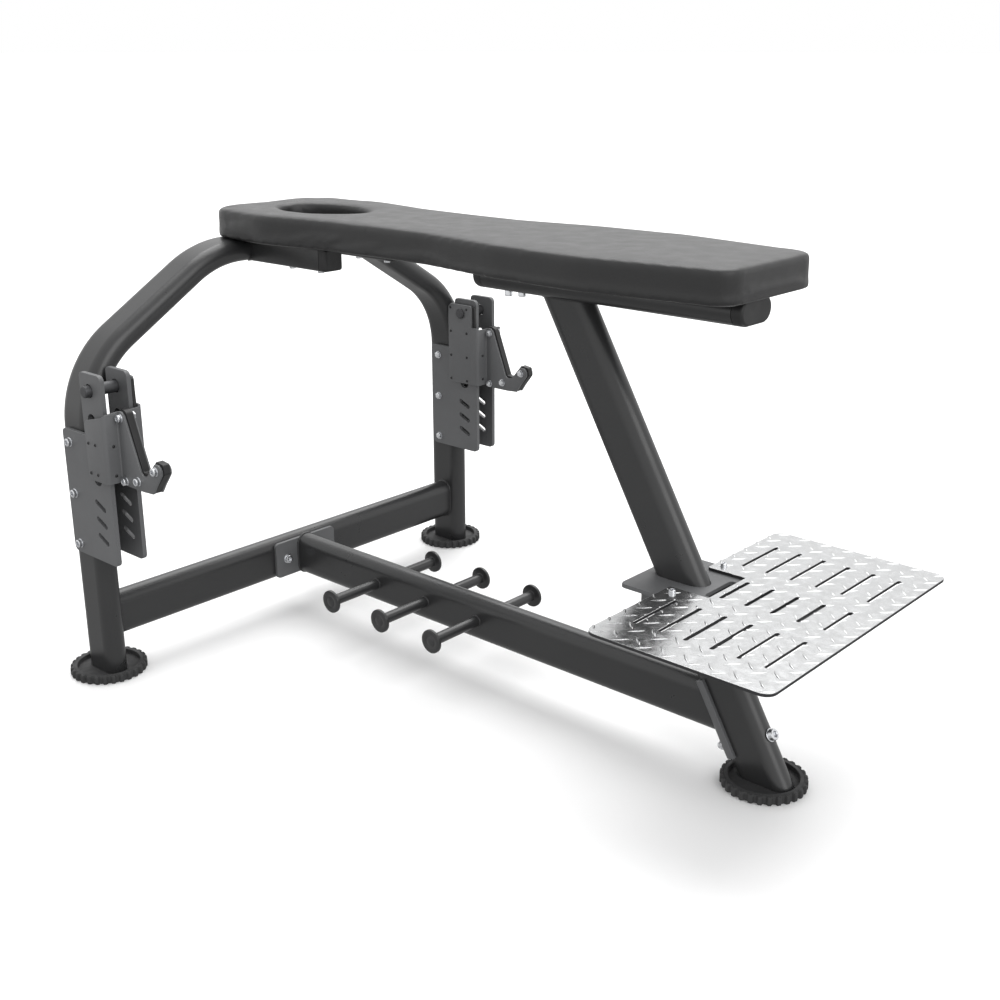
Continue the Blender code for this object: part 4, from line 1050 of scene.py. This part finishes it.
core_edge = rounded([
    (0.1535, 0.4685, 0.004), (0.2530, 0.4685, 0.005), (0.2940, 0.5165, 0.006), (0.291, 0.536, 0.005),
    (0.268, 0.539, 0.005), (0.239, 0.5055, 0.006), (0.221, 0.5055, 0.005), (0.178, 0.621, 0.010),
    (0.168, 0.626, 0.006), (0.1535, 0.624, 0.004),
]) + (HEAD_X, 0)
turn = np.linspace(0, 2 * math.pi, 48, endpoint=False)
for side, way in (("left", -1), ("right", 1)):
    body, leg = side + "_hook", way * LEG_Y
    for place, out, wing_x, wing in (("outer", 1, (0.083, 0.091), SHORT_WING),
                                     ("inner", -1, (0.050, 0.058, 0.124, 0.1285, 0.1305, 0.1308), TALL_WING)):
        bent_sheet(f"{side}_{place}_hook_sheet", HOOK_HALF_WIDTH, WING_FACE, SHEET_THICK, wing_x, FRONT_X,
                   wing + CHEEK[:, 1:].tolist(), CHEEK[:, 0], (leg, way * out), bracket_coat, "bracket", body,
                   f"{side}_hook_{place}_sheet")
        high = 0.594 if out > 0 else 0.676
        strip_edges = [(0.480, high - 0.004), (0.474, high), (0.474, high)] + STRIP_TURN
        bent_sheet(f"{side}_{place}_strip", 0.024, LINER_FACE, LINER_THICK,
                   (wing_x[0] + 0.003, wing_x[0] + 0.011), FRONT_X - LINER_THICK - 0.0003, strip_edges, None,
                   (leg, way * out), black_plastic, "plastic", body, f"{side}_hook_{place}_liner")
    low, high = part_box(f"{side}_hook_core")
    plate_piece(f"{side}_core_block", cut_plate(core_edge, [], high.y - low.y, 0.0008),
                Matrix.Translation((0, leg, 0)) @ ALONG_Y, black_plastic, "plastic", body,
                f"{side}_hook_core")
    for i in range(4):
        node = f"{side}_hook_bolt_{i + 1}"
        low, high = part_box(node)
        x, z = (low.x + high.x) / 2, (low.z + high.z) / 2
        near, far = (low.y, high.y) if way > 0 else (high.y, low.y)
        socket_bolt(f"{side}_hook_screw_{i + 1}", (x, near, z), (x, far, z), NUT_DEPTH,
                    abs(far - near) - HEAD_HEIGHT, 0.0082, bright_zinc, "zinc", body, node)
    low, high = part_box(side + "_lock_pin")
    near, far = (low.y, high.y) if way > 0 else (high.y, low.y)
    length = abs(far - near)
    rows = np.array([(0, 0.0095), (0.0008, 0.0112), (0.0024, 0.0127), (length - 0.0035, 0.0127),
                     (length - 0.0014, 0.0118), (length, 0.0092)])
    rings = np.stack(np.broadcast_arrays(
        PIN_X + rows[:, 1:] * np.cos(turn), near + way * rows[:, :1],
        PIN_Z + rows[:, 1:] * np.sin(turn)), -1)
    shown(side + "_pin_bar", rings, skin(*rings.shape[:2]), pin_coat, "pin_steel", body, side + "_lock_pin")
    wing_y = WING_FACE + SHEET_THICK
    screws = [((HEAD_X + x, leg - way * wing_y, z), "Y", -way) for x in (0.058, 0.1145)
              for z in (0.6696, 0.607, 0.5434, 0.481)]
    screws += [((HEAD_X + x, leg + way * wing_y, z), "Y", way)
               for x in (0.092, 0.117) for z in (0.551, 0.488)]
    screws += [((HEAD_X + FRONT_X + SHEET_THICK, leg + w, z), "X", 1) for w in (-0.027, 0.027)
               for z in (0.551, 0.489)]
    small_screws(side + "_strip_screws", screws, black_plastic, "plastic", body)
